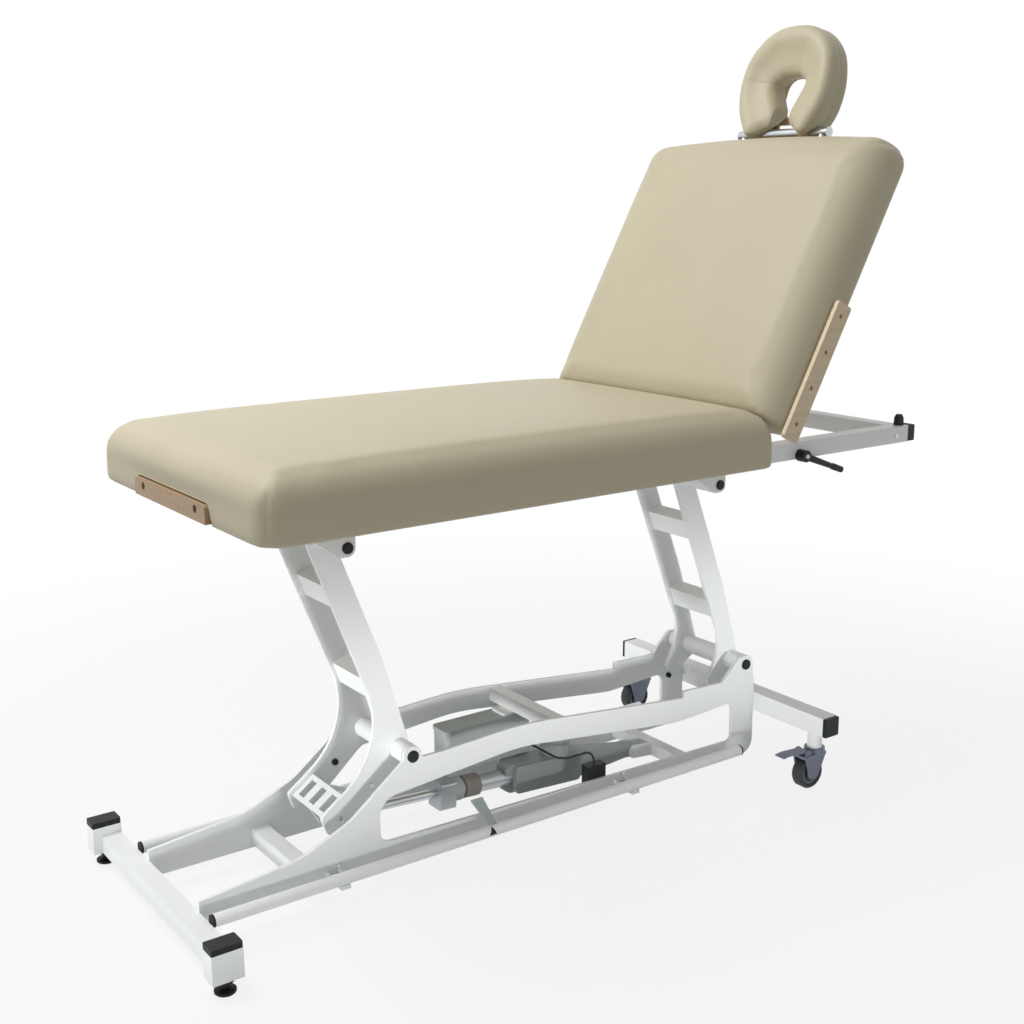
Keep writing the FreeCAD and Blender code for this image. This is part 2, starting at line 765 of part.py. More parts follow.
# Legs: two plates each on a pivot tube, a head tube and two box rungs
leg_outer = d.leg_spread / 2
leg_inner = leg_outer - d.leg_plate
head = d.leg_head_radius
spine = [
    (-head, d.leg_length + head, head - 0.5),
    (head, d.leg_length + head, head - 0.5),
    (d.leg_belly, d.leg_length * 0.4),
    (head - 3, -head - 1, head - 3),
]
lever_rise = d.lever_reach * sine(d.lever_angle) / cosine(d.lever_angle)
throat = (-d.leg_waist, d.leg_waist)
lever = [
    (-30, -40, 60),
    (-d.lever_reach + 58, -88, 20),
    (-d.lever_reach, -82, 10),
    (-d.lever_reach, throat[1] - lever_rise + 5, 10),
    throat + (d.lever_throat_radius,),
]
heel = [(-62, -48, 24), (-92, -20, 18), (-d.leg_waist, d.leg_waist + 30, d.heel_throat_radius)]
leg_holes = [(0, 0, d.pivot_tube_radius + d.fit_gap), (0, d.leg_length, d.head_tube_radius + d.fit_gap)]
for name, frame, foot_part in (("front", front_leg, lever), ("rear", rear_leg, heel)):
    leg_plate = prism(name + "_leg_plate", "XZ_Plane", [spine + foot_part], -leg_outer, -leg_inner, frame,
                      leg_holes)
    keep(both_sides(name + "_leg_plates", [leg_plate]))
    across = [
        turned("pivot_tube", "Y", ring(1 - plate_inner, plate_inner - 1, d.pivot_tube_radius, pivot_hole),
               frame),
        turned("head_tube", "Y", ring(-d.head_tube_reach, d.head_tube_reach, d.head_tube_radius,
                                      d.top_shaft_radius + d.fit_gap), frame, (0, 0, d.leg_length)),
    ]
    for middle in (d.rung_upper, d.rung_lower):
        across.append(prism("rung", "XZ_Plane",
                            tube_loops(6 - d.rung_depth / 2, 6 + d.rung_depth / 2,
                                       middle - d.rung_height / 2, middle + d.rung_height / 2),
                            -leg_inner, leg_inner, frame))
    keep(group(name + "_leg_rungs", across))

# Lever yoke: a slotted plate across the lever and two eyes for the actuator's pin
yoke_start = (-d.lever_reach, throat[1] - lever_rise)
yoke_frame = front_leg.within(yoke_start[0], yoke_start[1], d.lever_angle)
yoke_plate = prism("yoke_plate", "XY_Plane", [box(6, 66, -leg_inner, leg_inner)], -10, -4, yoke_frame)
for middle in (-44, 0, 44):
    cut(yoke_plate, "XY_Plane", [box(16, 56, middle - 11, middle + 11)], -11, -3)


def under_yoke_plate(along):
    across, rise = cosine(d.lever_angle), sine(d.lever_angle)
    return (yoke_start[0] + along * across + 10 * rise, yoke_start[1] + along * rise - 10 * across)


eye = d.yoke_hole_radius + 12
yoke_eye = prism("yoke_eye", "XZ_Plane",
                 [[under_yoke_plate(10), under_yoke_plate(64),
                   (-d.yoke_reach + eye, -d.yoke_drop + 20, 20),
                   (-d.yoke_reach + eye, -d.yoke_drop - eye, eye - 1),
                   (-d.yoke_reach - eye, -d.yoke_drop - eye, eye - 1)]],
                 -26, -18, front_leg, [(2 - d.yoke_reach, -d.yoke_drop - 2, d.yoke_hole_radius)])
keep(group("lever_yoke", [yoke_plate, yoke_eye, mirrored(yoke_eye)]))

# Top frame: two rails, three cross rails, rubber ends and buffers
rail_outer = d.rail_spread / 2
rail_inner = rail_outer - d.rail_side
rail_mid = rail_outer - d.rail_side / 2
rail_top = d.rail_drop + d.rail_side
rail_end = d.hinge_reach + d.back_start + d.back_length - d.rail_setback
rail_near = prism("top_rail_near", "YZ_Plane", tube_loops(-rail_outer, -rail_inner, d.rail_drop, rail_top),
                  -d.rail_foot, rail_end, top)
keep(rail_near, mirrored(rail_near, "top_rail_far"))
cross_rails = []
for low in (-d.rail_foot, d.middle_rail_reach, rail_end - d.rail_side):
    cross_rails.append(prism("cross_rail", "XZ_Plane", tube_loops(low, low + d.rail_side, d.rail_drop,
                                                                  rail_top),
                             -rail_inner, rail_inner, top))
keep(group("top_cross_rails", cross_rails))
rubbers = []
for low, high in ((rail_end, rail_end + d.rail_cap), (-d.rail_foot - d.rail_plug, -d.rail_foot)):
    rubbers.append(prism("rail_cap", "YZ_Plane", [box(rail_inner, rail_outer, d.rail_drop, rail_top, 3)],
                         low, high, top))
bumper_station = rail_end - d.bumper_setback
bumper = d.bumper_radius
rubbers.append(turned("bumper", "Z", [(rail_top, 0), (rail_top, bumper),
                                      (rail_top + d.bumper_height - 8, bumper - 1),
                                      (rail_top + d.bumper_height, bumper - 5),
                                      (rail_top + d.bumper_height, 0)],
                      top, (bumper_station, rail_mid, 0)))
keep(both_sides("rail_rubbers", rubbers))

# Lugs under the rails carry the legs' heads on two long shafts
lug = d.lug_radius
lugs, top_shafts, top_caps = [], [], []
top_cap = d.top_cap_radius
for station in (as_size(0), d.leg_spacing):
    lugs.append(prism("leg_lug", "XZ_Plane",
                      [[(station - d.lug_gusset, d.rail_drop), (station - lug, -lug, lug - 0.5),
                        (station + lug, -lug, lug - 0.5), (station + lug, d.rail_drop)]],
                      rail_outer - d.lug_thickness, rail_outer, top,
                      [(station, 0, d.top_shaft_radius + d.fit_gap)]))
    top_shafts.append(turned("top_shaft", "Y", ring(-rail_outer, rail_outer, d.top_shaft_radius), top,
                             (station, 0, 0)))
    top_caps.append(turned("top_cap", "Y", [(rail_outer, 0), (rail_outer, top_cap),
                                            (rail_outer + d.top_cap_height - 2, top_cap),
                                            (rail_outer + d.top_cap_height, top_cap - 2),
                                            (rail_outer + d.top_cap_height, 0)], top, (station, 0, 0)))
keep(both_sides("leg_lugs", lugs), group("top_pivot_shafts", top_shafts),
     both_sides("top_pivot_caps", top_caps))

# Seat: a deck on the rails, the cushion over it and the wooden socket block at the foot end
half_width = d.table_width / 2
deck_side = half_width - d.deck_margin
seat_foot = -d.seat_overhang
seat_head = d.hinge_reach + d.seat_lap
deck_foot = seat_foot + d.deck_inset
deck_head = seat_head - d.deck_inset
deck_top = rail_top + d.deck_thickness
block_foot = seat_foot - d.socket_block_proud
block_back = block_foot + d.socket_block_length
block_side = d.socket_block_width / 2
block_low = rail_top + d.socket_block_low
block_top = block_low + d.socket_block_height
slot_near = d.hinge_inner - d.hinge_slot_margin
slot_far = d.hinge_inner + 2 * d.hinge_plate + 0.5 + d.hinge_slot_margin
slot_back = d.hinge_reach - 32
seat_deck = prism("seat_deck", "XY_Plane", [box(deck_foot, deck_head, -deck_side, deck_side,
                                                d.cushion_corner - 6)],
                  rail_top, deck_top, top)
cut(seat_deck, "XY_Plane", [box(deck_foot - 1, block_back, -block_side, block_side)], rail_top - 1,
    deck_top + 1)
for low, high in ((slot_near, slot_far), (-slot_far, -slot_near)):
    cut(seat_deck, "XY_Plane", [box(slot_back, deck_head + 1, low, high)], rail_top - 1, deck_top + 1)
keep(seat_deck)


def cushion(label, start, end, low, frame):
    body = prism(label, "XY_Plane", [box(start, end, -half_width, half_width, d.cushion_corner)],
                 low, low + d.cushion_height, frame)
    high = (low + d.cushion_height).value
    round_edges(body, d.cushion_round, lambda edge: edge.BoundBox.ZMin > high - 0.01)
    return body


gap = d.soft_gap
seat_cushion = cushion("seat_cushion", seat_foot, seat_head, rail_top, top)
cut(seat_cushion, "XY_Plane", [box(deck_foot - gap, deck_head + gap, -deck_side - gap, deck_side + gap)],
    rail_top - 1, deck_top + gap)
cut(seat_cushion, "XY_Plane", [box(seat_foot - 1, block_back + gap, -block_side - gap, block_side + gap)],
    rail_top - 1, block_top + gap)
hinge_top = d.hinge_rise + 2 * d.hinge_radius
for low, high in ((slot_near, slot_far), (-slot_far, -slot_near)):
    cut(seat_cushion, "XY_Plane", [box(slot_back, seat_head + 1, low, high)], rail_top - 1, hinge_top)
keep(seat_cushion)


def socket_block(label, frame, start, end, mouth, width, low):
    # a wooden block with two blind sockets that open at its outer end
    body = prism(label, "YZ_Plane", [[(-width / 2, low), (width / 2, low),
                                      (width / 2, low + d.socket_block_height, 10),
                                      (-width / 2, low + d.socket_block_height, 10)]], start, end, frame)
    bottom = mouth + d.socket_depth if mouth is start else mouth - d.socket_depth
    ends = (mouth - 1, bottom) if mouth is start else (bottom, mouth + 1)
    for side in (-d.socket_spacing / 2, d.socket_spacing / 2):
        cut(body, "YZ_Plane", [], ends[0], ends[1], [(side, low + d.socket_rise, d.socket_radius)])
    return body


keep(socket_block("foot_end_block", top, block_foot, block_back, block_foot, d.socket_block_width,
                  block_low))

# Back hinge: lugs on the rails with their pins, and the gas spring's bracket on the far rail
lug_far = d.hinge_inner + d.hinge_plate
arm_near = lug_far + 0.5
arm_far = arm_near + d.hinge_plate
hinge_round = d.hinge_radius - 0.2
hinge_lug = prism("hinge_lug", "XZ_Plane",
                  [[(d.hinge_reach - 26, rail_top), (d.hinge_reach + d.hinge_radius, rail_top),
                    (d.hinge_reach + d.hinge_radius, d.hinge_rise + d.hinge_radius, hinge_round),
                    (d.hinge_reach - d.hinge_radius, d.hinge_rise + d.hinge_radius, hinge_round)]],
                  d.hinge_inner, lug_far, top,
                  [(d.hinge_reach, d.hinge_rise, d.hinge_pin_radius + d.fit_gap)])
hinge_pin = turned("hinge_pin", "Y", ring(d.hinge_inner - 2, arm_far + 2, d.hinge_pin_radius), top,
                   (d.hinge_reach, 0, d.hinge_rise))
low_swing = -(d.spring_drop + d.spring_swing)
low_along = d.hinge_reach + d.spring_radius * cosine(low_swing)
low_up = d.hinge_rise + d.spring_radius * sine(low_swing)
spring_in = d.spring_side - 5
spring_out = d.spring_side + 5
bracket_out = rail_outer + 6
spring_bracket = prism("spring_bracket", "XZ_Plane",
                       [[(low_along - 30, rail_top - 4), (low_along - 13, low_up - 13, 12.9),
                         (low_along + 13, low_up - 13, 12.9), (low_along + 24, rail_top - 4)]],
                       rail_outer, bracket_out, top)
add_turned(spring_bracket, "Y", ring(rail_outer + 1, spring_out + 2, d.spring_pin_radius),
           (low_along, 0, low_up))
release_reach = d.hinge_reach + d.release_offset
release_pin = turned("release_pin", "Y", ring(-rail_outer - 28, -rail_outer, d.spring_pin_radius), top,
                     (release_reach, 0, d.release_rise))
keep(group("hinge_lugs", [hinge_lug, hinge_pin, mirrored(hinge_lug), mirrored(hinge_pin), spring_bracket,
                          release_pin]))

# Lift back: deck, cushion, hinge arms, side strips and the head-end socket block
back_low = rail_top - d.hinge_rise + d.back_rest_gap
back_end = d.back_start + d.back_length
back_deck_start = d.back_start + d.deck_inset
back_deck_end = back_end - d.deck_inset
back_deck_top = back_low + d.deck_thickness
deck_corner = d.cushion_corner - 6
head_block_start = back_end - d.socket_block_length + 3
head_block_end = back_end + 3
head_block_side = d.head_block_width / 2
head_block_low = back_low + d.socket_block_low
head_block_top = head_block_low + d.socket_block_height
strip_end = d.strip_start + d.strip_length
recess = bumper + 5.5
bumper_reach = bumper_station - d.hinge_reach
bumper_holes = [(bumper_reach, -rail_mid, recess), (bumper_reach, rail_mid, recess)]
back_deck = prism("back_deck", "XY_Plane",
                  [[(back_deck_start, -half_width), (strip_end - 6, -half_width),
                    (strip_end - 6, -deck_side),
                    (back_deck_end, -deck_side, deck_corner), (back_deck_end, deck_side, deck_corner),
                    (strip_end - 6, deck_side),
                    (strip_end - 6, half_width), (back_deck_start, half_width)]],
                  back_low, back_deck_top, back, bumper_holes)
cut(back_deck, "XY_Plane", [box(head_block_start, back_deck_end + 1, -head_block_side, head_block_side)],
    back_low - 1, back_deck_top + 1)
keep(back_deck)
back_cushion = cushion("back_cushion", d.back_start, back_end, back_low, back)
cut(back_cushion, "XY_Plane", [box(back_deck_start - gap, back_deck_end + gap, -deck_side - gap,
                                   deck_side + gap)],
    back_low - 1, back_deck_top + gap)
cut(back_cushion, "XY_Plane", [box(back_deck_start - gap, strip_end - 6 + gap, -half_width - 1,
                                   half_width + 1)],
    back_low - 1, back_deck_top + gap)
cut(back_cushion, "XY_Plane", [box(head_block_start - gap, back_end + 1, -head_block_side - gap,
                                   head_block_side + gap)],
    back_low - 1, head_block_top + gap)
cut(back_cushion, "XY_Plane", [], back_low - 1, back_low + d.bumper_height + 8, bumper_holes)
arm_reach = 95
for low, high in ((slot_near, slot_far), (-slot_far, -slot_near)):
    cut(back_cushion, "XY_Plane", [box(d.back_start - 1, arm_reach + 5, low, high)],
        back_low - 1, d.hinge_radius + d.hinge_slot_margin)
keep(back_cushion)
hinge = d.hinge_radius
hinge_arm = prism("hinge_arm", "XZ_Plane",
                  [[(-hinge, hinge, hinge_round), (hinge, hinge, hinge_round),
                    (arm_reach, back_deck_top + 14, 8),
                    (arm_reach, back_deck_top), (30, back_deck_top), (-hinge, -hinge, hinge_round)]],
                  arm_near, arm_far, back, [(0, 0, d.hinge_pin_radius + d.fit_gap)])
up_along = d.spring_radius * cosine(d.spring_drop)
up_low = -d.spring_radius * sine(d.spring_drop)
rod_bracket = prism("rod_bracket", "XZ_Plane",
                    [[(up_along - 24, back_low), (up_along - 10, up_low - 10, 9.9),
                      (up_along + 10, up_low - 10, 9.9),
                      (up_along + 24, back_low)]], spring_out + 3, spring_out + 9, back)
add_turned(rod_bracket, "Y", ring(spring_in - 2, spring_out + 8, d.spring_pin_radius),
           (up_along, 0, up_low))
keep(group("hinge_arms", [hinge_arm, mirrored(hinge_arm), rod_bracket]))
strip_low = back_low + d.strip_low
strip_holes = []
for count in range(4):
    strip_holes.append((d.strip_start + d.strip_hole_first + count * d.strip_hole_pitch,
                        strip_low + d.strip_height / 2, d.strip_hole_radius))
strip_inner = half_width + d.back_rest_gap / 2
strip = prism("side_strip", "XZ_Plane", [box(d.strip_start, strip_end, strip_low,
                                             strip_low + d.strip_height, 6)],
              strip_inner, strip_inner + d.strip_thickness, back, strip_holes)
keep(both_sides("side_strips", [strip]))
keep(socket_block("head_end_block", back, head_block_start, head_block_end, head_block_end,
                  d.head_block_width, head_block_low))

# Gas spring between the far rail and the back, both pins at one radius from the hinge
swing = d.back_angle - d.spring_drop
lean_angle = (swing + low_swing) / 2 + 90
spring_low = Frame(top.x + low_along, top.z + low_up, lean_angle)
upper_x = top.x + d.hinge_reach + d.spring_radius * cosine(swing)
upper_z = top.z + d.hinge_rise + d.spring_radius * sine(swing)
spring_up = Frame(upper_x, upper_z, lean_angle)
eye = d.spring_eye_radius
body_radius = d.spring_body_radius
spring_bore = body_radius - 3
gas_cylinder = turned("gas_cylinder", "X",
                      [(4 + eye, 0), (4 + eye, body_radius), (d.spring_body_end, body_radius),
                       (d.spring_body_end, d.spring_rod_radius + d.fit_gap),
                       (d.spring_body_end - 6, d.spring_rod_radius + d.fit_gap),
                       (d.spring_body_end - 6, spring_bore), (13 + eye, spring_bore), (13 + eye, 0)],
                      spring_low, (0, d.spring_side, 0))
add_pad(gas_cylinder, "XZ_Plane", [box(0, 6 + eye, -4, 4)], spring_in + 1, spring_out - 1)
add_turned(gas_cylinder, "Y", ring(spring_in, spring_out, eye))
cut(gas_cylinder, "XZ_Plane", [], spring_in - 1, spring_out + 1, [(0, 0, d.spring_pin_radius + d.fit_gap)])
keep(gas_cylinder)
rod = d.spring_rod_radius
gas_rod = turned("gas_rod", "X",
                 [(0, 0), (0, rod), (6 - d.spring_rod_length, rod),
                  (6 - d.spring_rod_length, spring_bore - d.fit_gap),
                  (-d.spring_rod_length, spring_bore - d.fit_gap), (-d.spring_rod_length, 0)],
                 spring_up, (0, d.spring_side, 0))
add_turned(gas_rod, "Y", ring(spring_in, spring_out, eye))
cut(gas_rod, "XZ_Plane", [], spring_in - 1, spring_out + 1, [(0, 0, d.spring_pin_radius + d.fit_gap)])
keep(gas_rod)

# Release lever on the near rail
release = top.within(release_reach, d.release_rise, -d.release_angle)
hub = d.release_hub_radius
release_lever = turned("release_lever", "Y",
                       ring(-rail_outer - 24, -rail_outer - 0.5, hub, d.spring_pin_radius + d.fit_gap),
                       release)
add_turned(release_lever, "X", [(hub - 3, 0), (hub - 3, 8.5), (d.release_length - 42, 6.5),
                                (d.release_length - 36, 8),
                                (d.release_length - 4, 7.5), (d.release_length, 4), (d.release_length, 0)],
           (0, -rail_outer - 14, 0))
keep(release_lever)

# Face rest: dowels on a cross bar, a tilting platform and its horseshoe cushion
dowel_level = head_block_low + d.socket_rise
bar_along = back_end + d.face_bar_offset
face_frame = turned("face_rest_frame", "Y", ring(-d.face_bar_length / 2, d.face_bar_length / 2,
                                                 d.face_bar_radius),
                    back, (bar_along, 0, dowel_level))
for side in (-d.socket_spacing / 2, d.socket_spacing / 2):
    add_turned(face_frame, "X", ring(bar_along - d.dowel_length, bar_along, d.dowel_radius),
               (0, side, dowel_level))
keep(face_frame)
face = back.within(bar_along, dowel_level, d.face_tilt)
face_start = d.face_start
face_end = face_start + d.face_length
wide = d.face_half_width
platform_low = d.face_low - d.platform_thickness


def horseshoe(inset):
    mid = face_start + d.face_length * 0.3
    hole_start = face_start + 34 - inset
    hole_end = face_start + d.face_length * 0.47 + inset
    hole = d.face_hole + inset
    slit = d.face_slit + inset
    return [
        (face_start + inset, slit), (face_start + inset, wide - 28 - inset, 24),
        (mid, wide - inset, 90), (face_end - d.face_shoulder, wide - 6 - inset, 80),
            (face_end - inset, wide * 0.52 - inset, 60),
        (face_end - inset, -wide * 0.52 + inset, 60), (face_end - d.face_shoulder, 6 - wide + inset, 80),
            (mid, inset - wide, 90),
        (face_start + inset, 28 - wide + inset, 24), (face_start + inset, -slit),
        (hole_start, -slit, 8), (hole_start + 30, -hole, 26), (hole_end, -hole * 0.8, 34),
        (hole_end, hole * 0.8, 34), (hole_start + 30, hole, 26), (hole_start, slit, 8),
    ]


platform = prism("face_rest_platform", "XY_Plane", [horseshoe(12)], platform_low, d.face_low - gap, face)
knuckle = d.face_bar_radius + 5
for low in (-d.knuckle_reach, d.knuckle_reach - d.knuckle_width):
    add_pad(platform, "XZ_Plane",
            [[(-knuckle, platform_low, knuckle - 1), (face_start + 40, platform_low),
              (face_start + 40, d.face_low - gap - 2), (knuckle, d.face_low - gap - 2),
              (knuckle, knuckle, knuckle - 1), (-knuckle, knuckle, knuckle - 1)]], low,
            low + d.knuckle_width)
    cut(platform, "XZ_Plane", [], low - 1, low + d.knuckle_width + 1,
        [(0, 0, d.face_bar_radius + d.fit_gap)])
keep(platform)
face_cushion = prism("face_rest_cushion", "XY_Plane", [horseshoe(0)], d.face_low,
                     d.face_low + d.face_thickness, face)
keep(face_cushion)

# Swivel casters in sockets under the caster beam
swivel = plate_tail + d.caster_beam_side / 2
caster_side = -d.caster_spacing / 2
axle_along = swivel - d.caster_trail
wheel_half = d.wheel_width / 2
fork_in = wheel_half + d.fork_gap
fork_out = fork_in + d.fork_plate
hood_low = 2 * d.wheel_radius + d.hood_gap
hood_top = hood_low + 6
crown_top = hood_top + 10
socket = turned("caster_socket", "Z", ring(crown_top + gap, d.caster_beam_low,
                                           d.stem_radius + d.socket_wall,
                                           d.stem_radius + d.fit_gap), base, (swivel, -caster_side, 0))
keep(both_sides("caster_sockets", [socket]))
fork = turned("caster_fork_near", "Z", [(hood_low, 0), (hood_low, 24), (crown_top, 24),
                                        (crown_top, d.stem_radius),
                                        (d.caster_beam_low - 2, d.stem_radius), (d.caster_beam_low - 2, 0)],
              base, (swivel, caster_side, 0))
pedal_along = axle_along - 16
pedal_up = crown_top - 3
pin_wide = wheel_half + 3
add_pad(fork, "XY_Plane", [box(axle_along - 31, swivel + 20, caster_side - fork_out, caster_side + fork_out,
                               4)],
        hood_low, hood_top)
for low in (caster_side - fork_out, caster_side + fork_in):
    add_pad(fork, "XZ_Plane", [[(axle_along - 28, hood_top - 1), (axle_along - 13, d.wheel_radius - 12, 11),
                                (axle_along + 13, d.wheel_radius - 12, 11), (swivel + 18, hood_top - 1)]],
            low, low + d.fork_plate)
for low in (caster_side - pin_wide, caster_side + pin_wide - 4):
    add_pad(fork, "XZ_Plane", [[(pedal_along - 9, hood_top - 1), (pedal_along + 9, hood_top - 1),
                                (pedal_along + 7, pedal_up + 6, 6), (pedal_along - 7, pedal_up + 6, 6)]],
            low, low + 4)
add_turned(fork, "Y", ring(caster_side - fork_out + 1, caster_side + fork_out - 1, d.axle_radius),
           (axle_along, 0, d.wheel_radius))
add_turned(fork, "Y", ring(caster_side - pin_wide + 1, caster_side + pin_wide - 1, d.pedal_pin_radius),
           (pedal_along, 0, pedal_up))
keep(fork, mirrored(fork, "caster_fork_far"))
wheel = d.wheel_radius
wheel_near = turned("caster_wheel_near", "Y",
                    [(-wheel_half, d.axle_radius + d.fit_gap), (-wheel_half, 10), (3 - wheel_half, 13),
                     (3 - wheel_half, wheel - 9), (-wheel_half, wheel - 7), (-wheel_half, wheel - 3),
                     (4 - wheel_half, wheel), (wheel_half - 4, wheel), (wheel_half, wheel - 3),
                     (wheel_half, wheel - 7), (wheel_half - 3, wheel - 9), (wheel_half - 3, 13),
                     (wheel_half, 10),
                     (wheel_half, d.axle_radius + d.fit_gap)],
                    base, (axle_along, caster_side, d.wheel_radius))
keep(wheel_near, mirrored(wheel_near, "caster_wheel_far"))
pedal = turned("caster_pedal_near", "Y", ring(caster_side - pin_wide + 4.5, caster_side + pin_wide - 4.5,
                                              5.5), base,
               (pedal_along, 0, pedal_up))
pedal_tip = pedal_along - d.pedal_reach
add_pad(pedal, "XZ_Plane", [[(pedal_along, pedal_up), (pedal_along, pedal_up + 5),
                             (pedal_tip + 20, pedal_up + 9, 30),
                             (pedal_tip, pedal_up + 7, 1.5), (pedal_tip, pedal_up + 3, 1.5),
                             (pedal_tip + 20, pedal_up + 5, 30), (pedal_along - 4, pedal_up)]],
        caster_side - pin_wide + 4.5, caster_side + pin_wide - 4.5)
cut(pedal, "XZ_Plane", [], caster_side - pin_wide, caster_side + pin_wide,
    [(pedal_along, pedal_up, d.pedal_pin_radius + d.fit_gap)])
keep(pedal, mirrored(pedal, "caster_pedal_far"))

# Every piece is recomputed and looked over before it is written
doc.recompute()
for item in doc.Objects:
    if "Invalid" in item.State or "Error" in item.State:
        raise ValueError("%s does not recompute" % item.Label)
os.makedirs("parts", exist_ok=True)
for node in nodes:
    if node.Shape.isNull() or not node.Shape.isValid() or not node.Shape.Solids:
        raise ValueError("%s has no sound solid" % node.Label)
    node.Shape.exportStep("parts/%s.step" % node.Label)
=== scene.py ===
import math

import bmesh
import bpy
from mathutils import Matrix, Vector


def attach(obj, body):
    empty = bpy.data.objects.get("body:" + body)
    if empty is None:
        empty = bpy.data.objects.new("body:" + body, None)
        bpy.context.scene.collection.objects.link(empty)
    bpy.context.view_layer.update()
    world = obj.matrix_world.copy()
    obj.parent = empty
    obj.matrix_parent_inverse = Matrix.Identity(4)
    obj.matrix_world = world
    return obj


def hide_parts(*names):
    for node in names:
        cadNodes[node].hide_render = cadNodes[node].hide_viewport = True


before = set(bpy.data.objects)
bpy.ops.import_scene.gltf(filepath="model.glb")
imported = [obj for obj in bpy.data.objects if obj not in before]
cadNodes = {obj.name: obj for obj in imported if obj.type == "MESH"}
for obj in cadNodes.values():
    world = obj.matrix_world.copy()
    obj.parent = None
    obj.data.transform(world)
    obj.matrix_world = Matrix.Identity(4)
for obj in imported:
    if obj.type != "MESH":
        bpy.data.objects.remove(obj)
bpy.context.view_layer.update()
scene = bpy.context.scene
print("stage: frame loaded,", len(cadNodes), "nodes")

# The back and the face rest are drawn along their own slopes: s runs up from the pivot, t out of the front face.
acrossTable = Vector((0.0, 1.0, 0.0))


def slopeAt(pivot, degrees):
    along = Vector((math.cos(math.radians(degrees)), 0.0, math.sin(math.radians(degrees))))
    out = Vector((-along.z, 0.0, along.x))
    return Matrix.Translation(pivot) @ Matrix((along, acrossTable, out)).transposed().to_4x4()


slopes = {"hinge": (0.286108, 0.0, 0.869736), "backDegrees": 61.0, "faceBar": (0.683216, 0.0, 1.494555),
          "faceDegrees": 80.0}
backSlope = slopeAt(slopes["hinge"], slopes["backDegrees"])
faceSlope = slopeAt(slopes["faceBar"], slopes["faceDegrees"])


def hexColour(text):
    parts = [int(text[i:i + 2], 16) / 255.0 for i in (1, 3, 5)]
    linear = [c / 12.92 if c <= 0.04045 else ((c + 0.055) / 1.055) ** 2.4 for c in parts]
    return (*linear, 1.0)


def addNode(tree, kind, settings=None, links=None):
    node = tree.nodes.new(kind)
    for key, value in (settings or {}).items():
        if isinstance(key, int) or key in node.inputs:
            node.inputs[key].default_value = value
        else:
            setattr(node, key, value)
    for key, source in (links or {}).items():
        tree.links.new(source, node.inputs[key])
    return node


def startMaterial(name, settings):
    material = bpy.data.materials.new(name)
    material.use_nodes = True
    tree = material.node_tree
    shader = tree.nodes["Principled BSDF"]
    for key, value in settings.items():
        shader.inputs[key].default_value = value
    coords = addNode(tree, "ShaderNodeTexCoord").outputs["Object"]
    return material, tree, shader, coords


def perMetre(sizeMm):
    return 1000.0 / sizeMm


# Soft PVC vinyl, calendered and embossed: a low even sheen, a leather grain and a slow drift of tone.
vinylLook = {"pale": "#C8C0A4", "deep": "#BDB498", "driftMm": 210, "grainMm": 3.4, "grainDepthMm": 0.16,
             "glossiest": 0.44, "dullest": 0.56}
softVinyl, tree, shader, coords = startMaterial(
    "calenderedPvcVinyl", {"Roughness": 0.5, "IOR": 1.52, "Specular IOR Level": 0.42, "Sheen Weight": 0.06})
drift = addNode(tree, "ShaderNodeTexNoise", {"Scale": perMetre(vinylLook["driftMm"]), "Detail": 3.0},
                {"Vector": coords})
toned = addNode(tree, "ShaderNodeMix",
                {"data_type": "RGBA", 6: hexColour(vinylLook["deep"]), 7: hexColour(vinylLook["pale"])},
                {0: drift.outputs["Fac"]})
tree.links.new(toned.outputs[2], shader.inputs["Base Color"])
# the real grain is about 1 mm and is drawn three times as coarse, so that it shows
grain = addNode(tree, "ShaderNodeTexVoronoi", {"Scale": perMetre(vinylLook["grainMm"])}, {"Vector": coords})
emboss = addNode(tree, "ShaderNodeBump", {"Strength": 0.25, "Distance": vinylLook["grainDepthMm"] / 1000},
                 {"Height": grain.outputs["Distance"]})
tree.links.new(emboss.outputs["Normal"], shader.inputs["Normal"])
gloss = addNode(tree, "ShaderNodeMapRange", {"To Min": vinylLook["glossiest"], "To Max": vinylLook["dullest"]},
                {"Value": drift.outputs["Fac"]})
tree.links.new(gloss.outputs["Result"], shader.inputs["Roughness"])

# Polyester powder coat baked on steel: a clean white with the faint ripple of orange peel.
coatLook = {"colour": "#F2F5F5", "peelMm": 5.0, "peelDepthMm": 0.03}
whiteCoat, tree, shader, coords = startMaterial(
    "bakedPowderCoatWhite", {"Base Color": hexColour(coatLook["colour"]), "Roughness": 0.36, "IOR": 1.5})
# orange peel is 1 to 2 mm across, drawn at 5 mm so that it shows
peel = addNode(tree, "ShaderNodeTexNoise", {"Scale": perMetre(coatLook["peelMm"]), "Detail": 1.0}, {"Vector": coords})
ripple = addNode(tree, "ShaderNodeBump", {"Strength": 0.2, "Distance": coatLook["peelDepthMm"] / 1000},
                 {"Height": peel.outputs["Fac"]})
tree.links.new(ripple.outputs["Normal"], shader.inputs["Normal"])


def mouldedPlastic(name, colour, roughness, sparkMm, depthMm, specular=0.5):
    # injection moulded: the fine spark-eroded texture of the tool breaks up the highlight
    material, tree, shader, coords = startMaterial(
        name, {"Base Color": hexColour(colour), "Roughness": roughness, "IOR": 1.53,
               "Specular IOR Level": specular})
    spark = addNode(tree, "ShaderNodeTexNoise", {"Scale": perMetre(sparkMm), "Detail": 2.0}, {"Vector": coords})
    relief = addNode(tree, "ShaderNodeBump", {"Strength": 0.3, "Distance": depthMm / 1000},
                     {"Height": spark.outputs["Fac"]})
    tree.links.new(relief.outputs["Normal"], shader.inputs["Normal"])
    return material


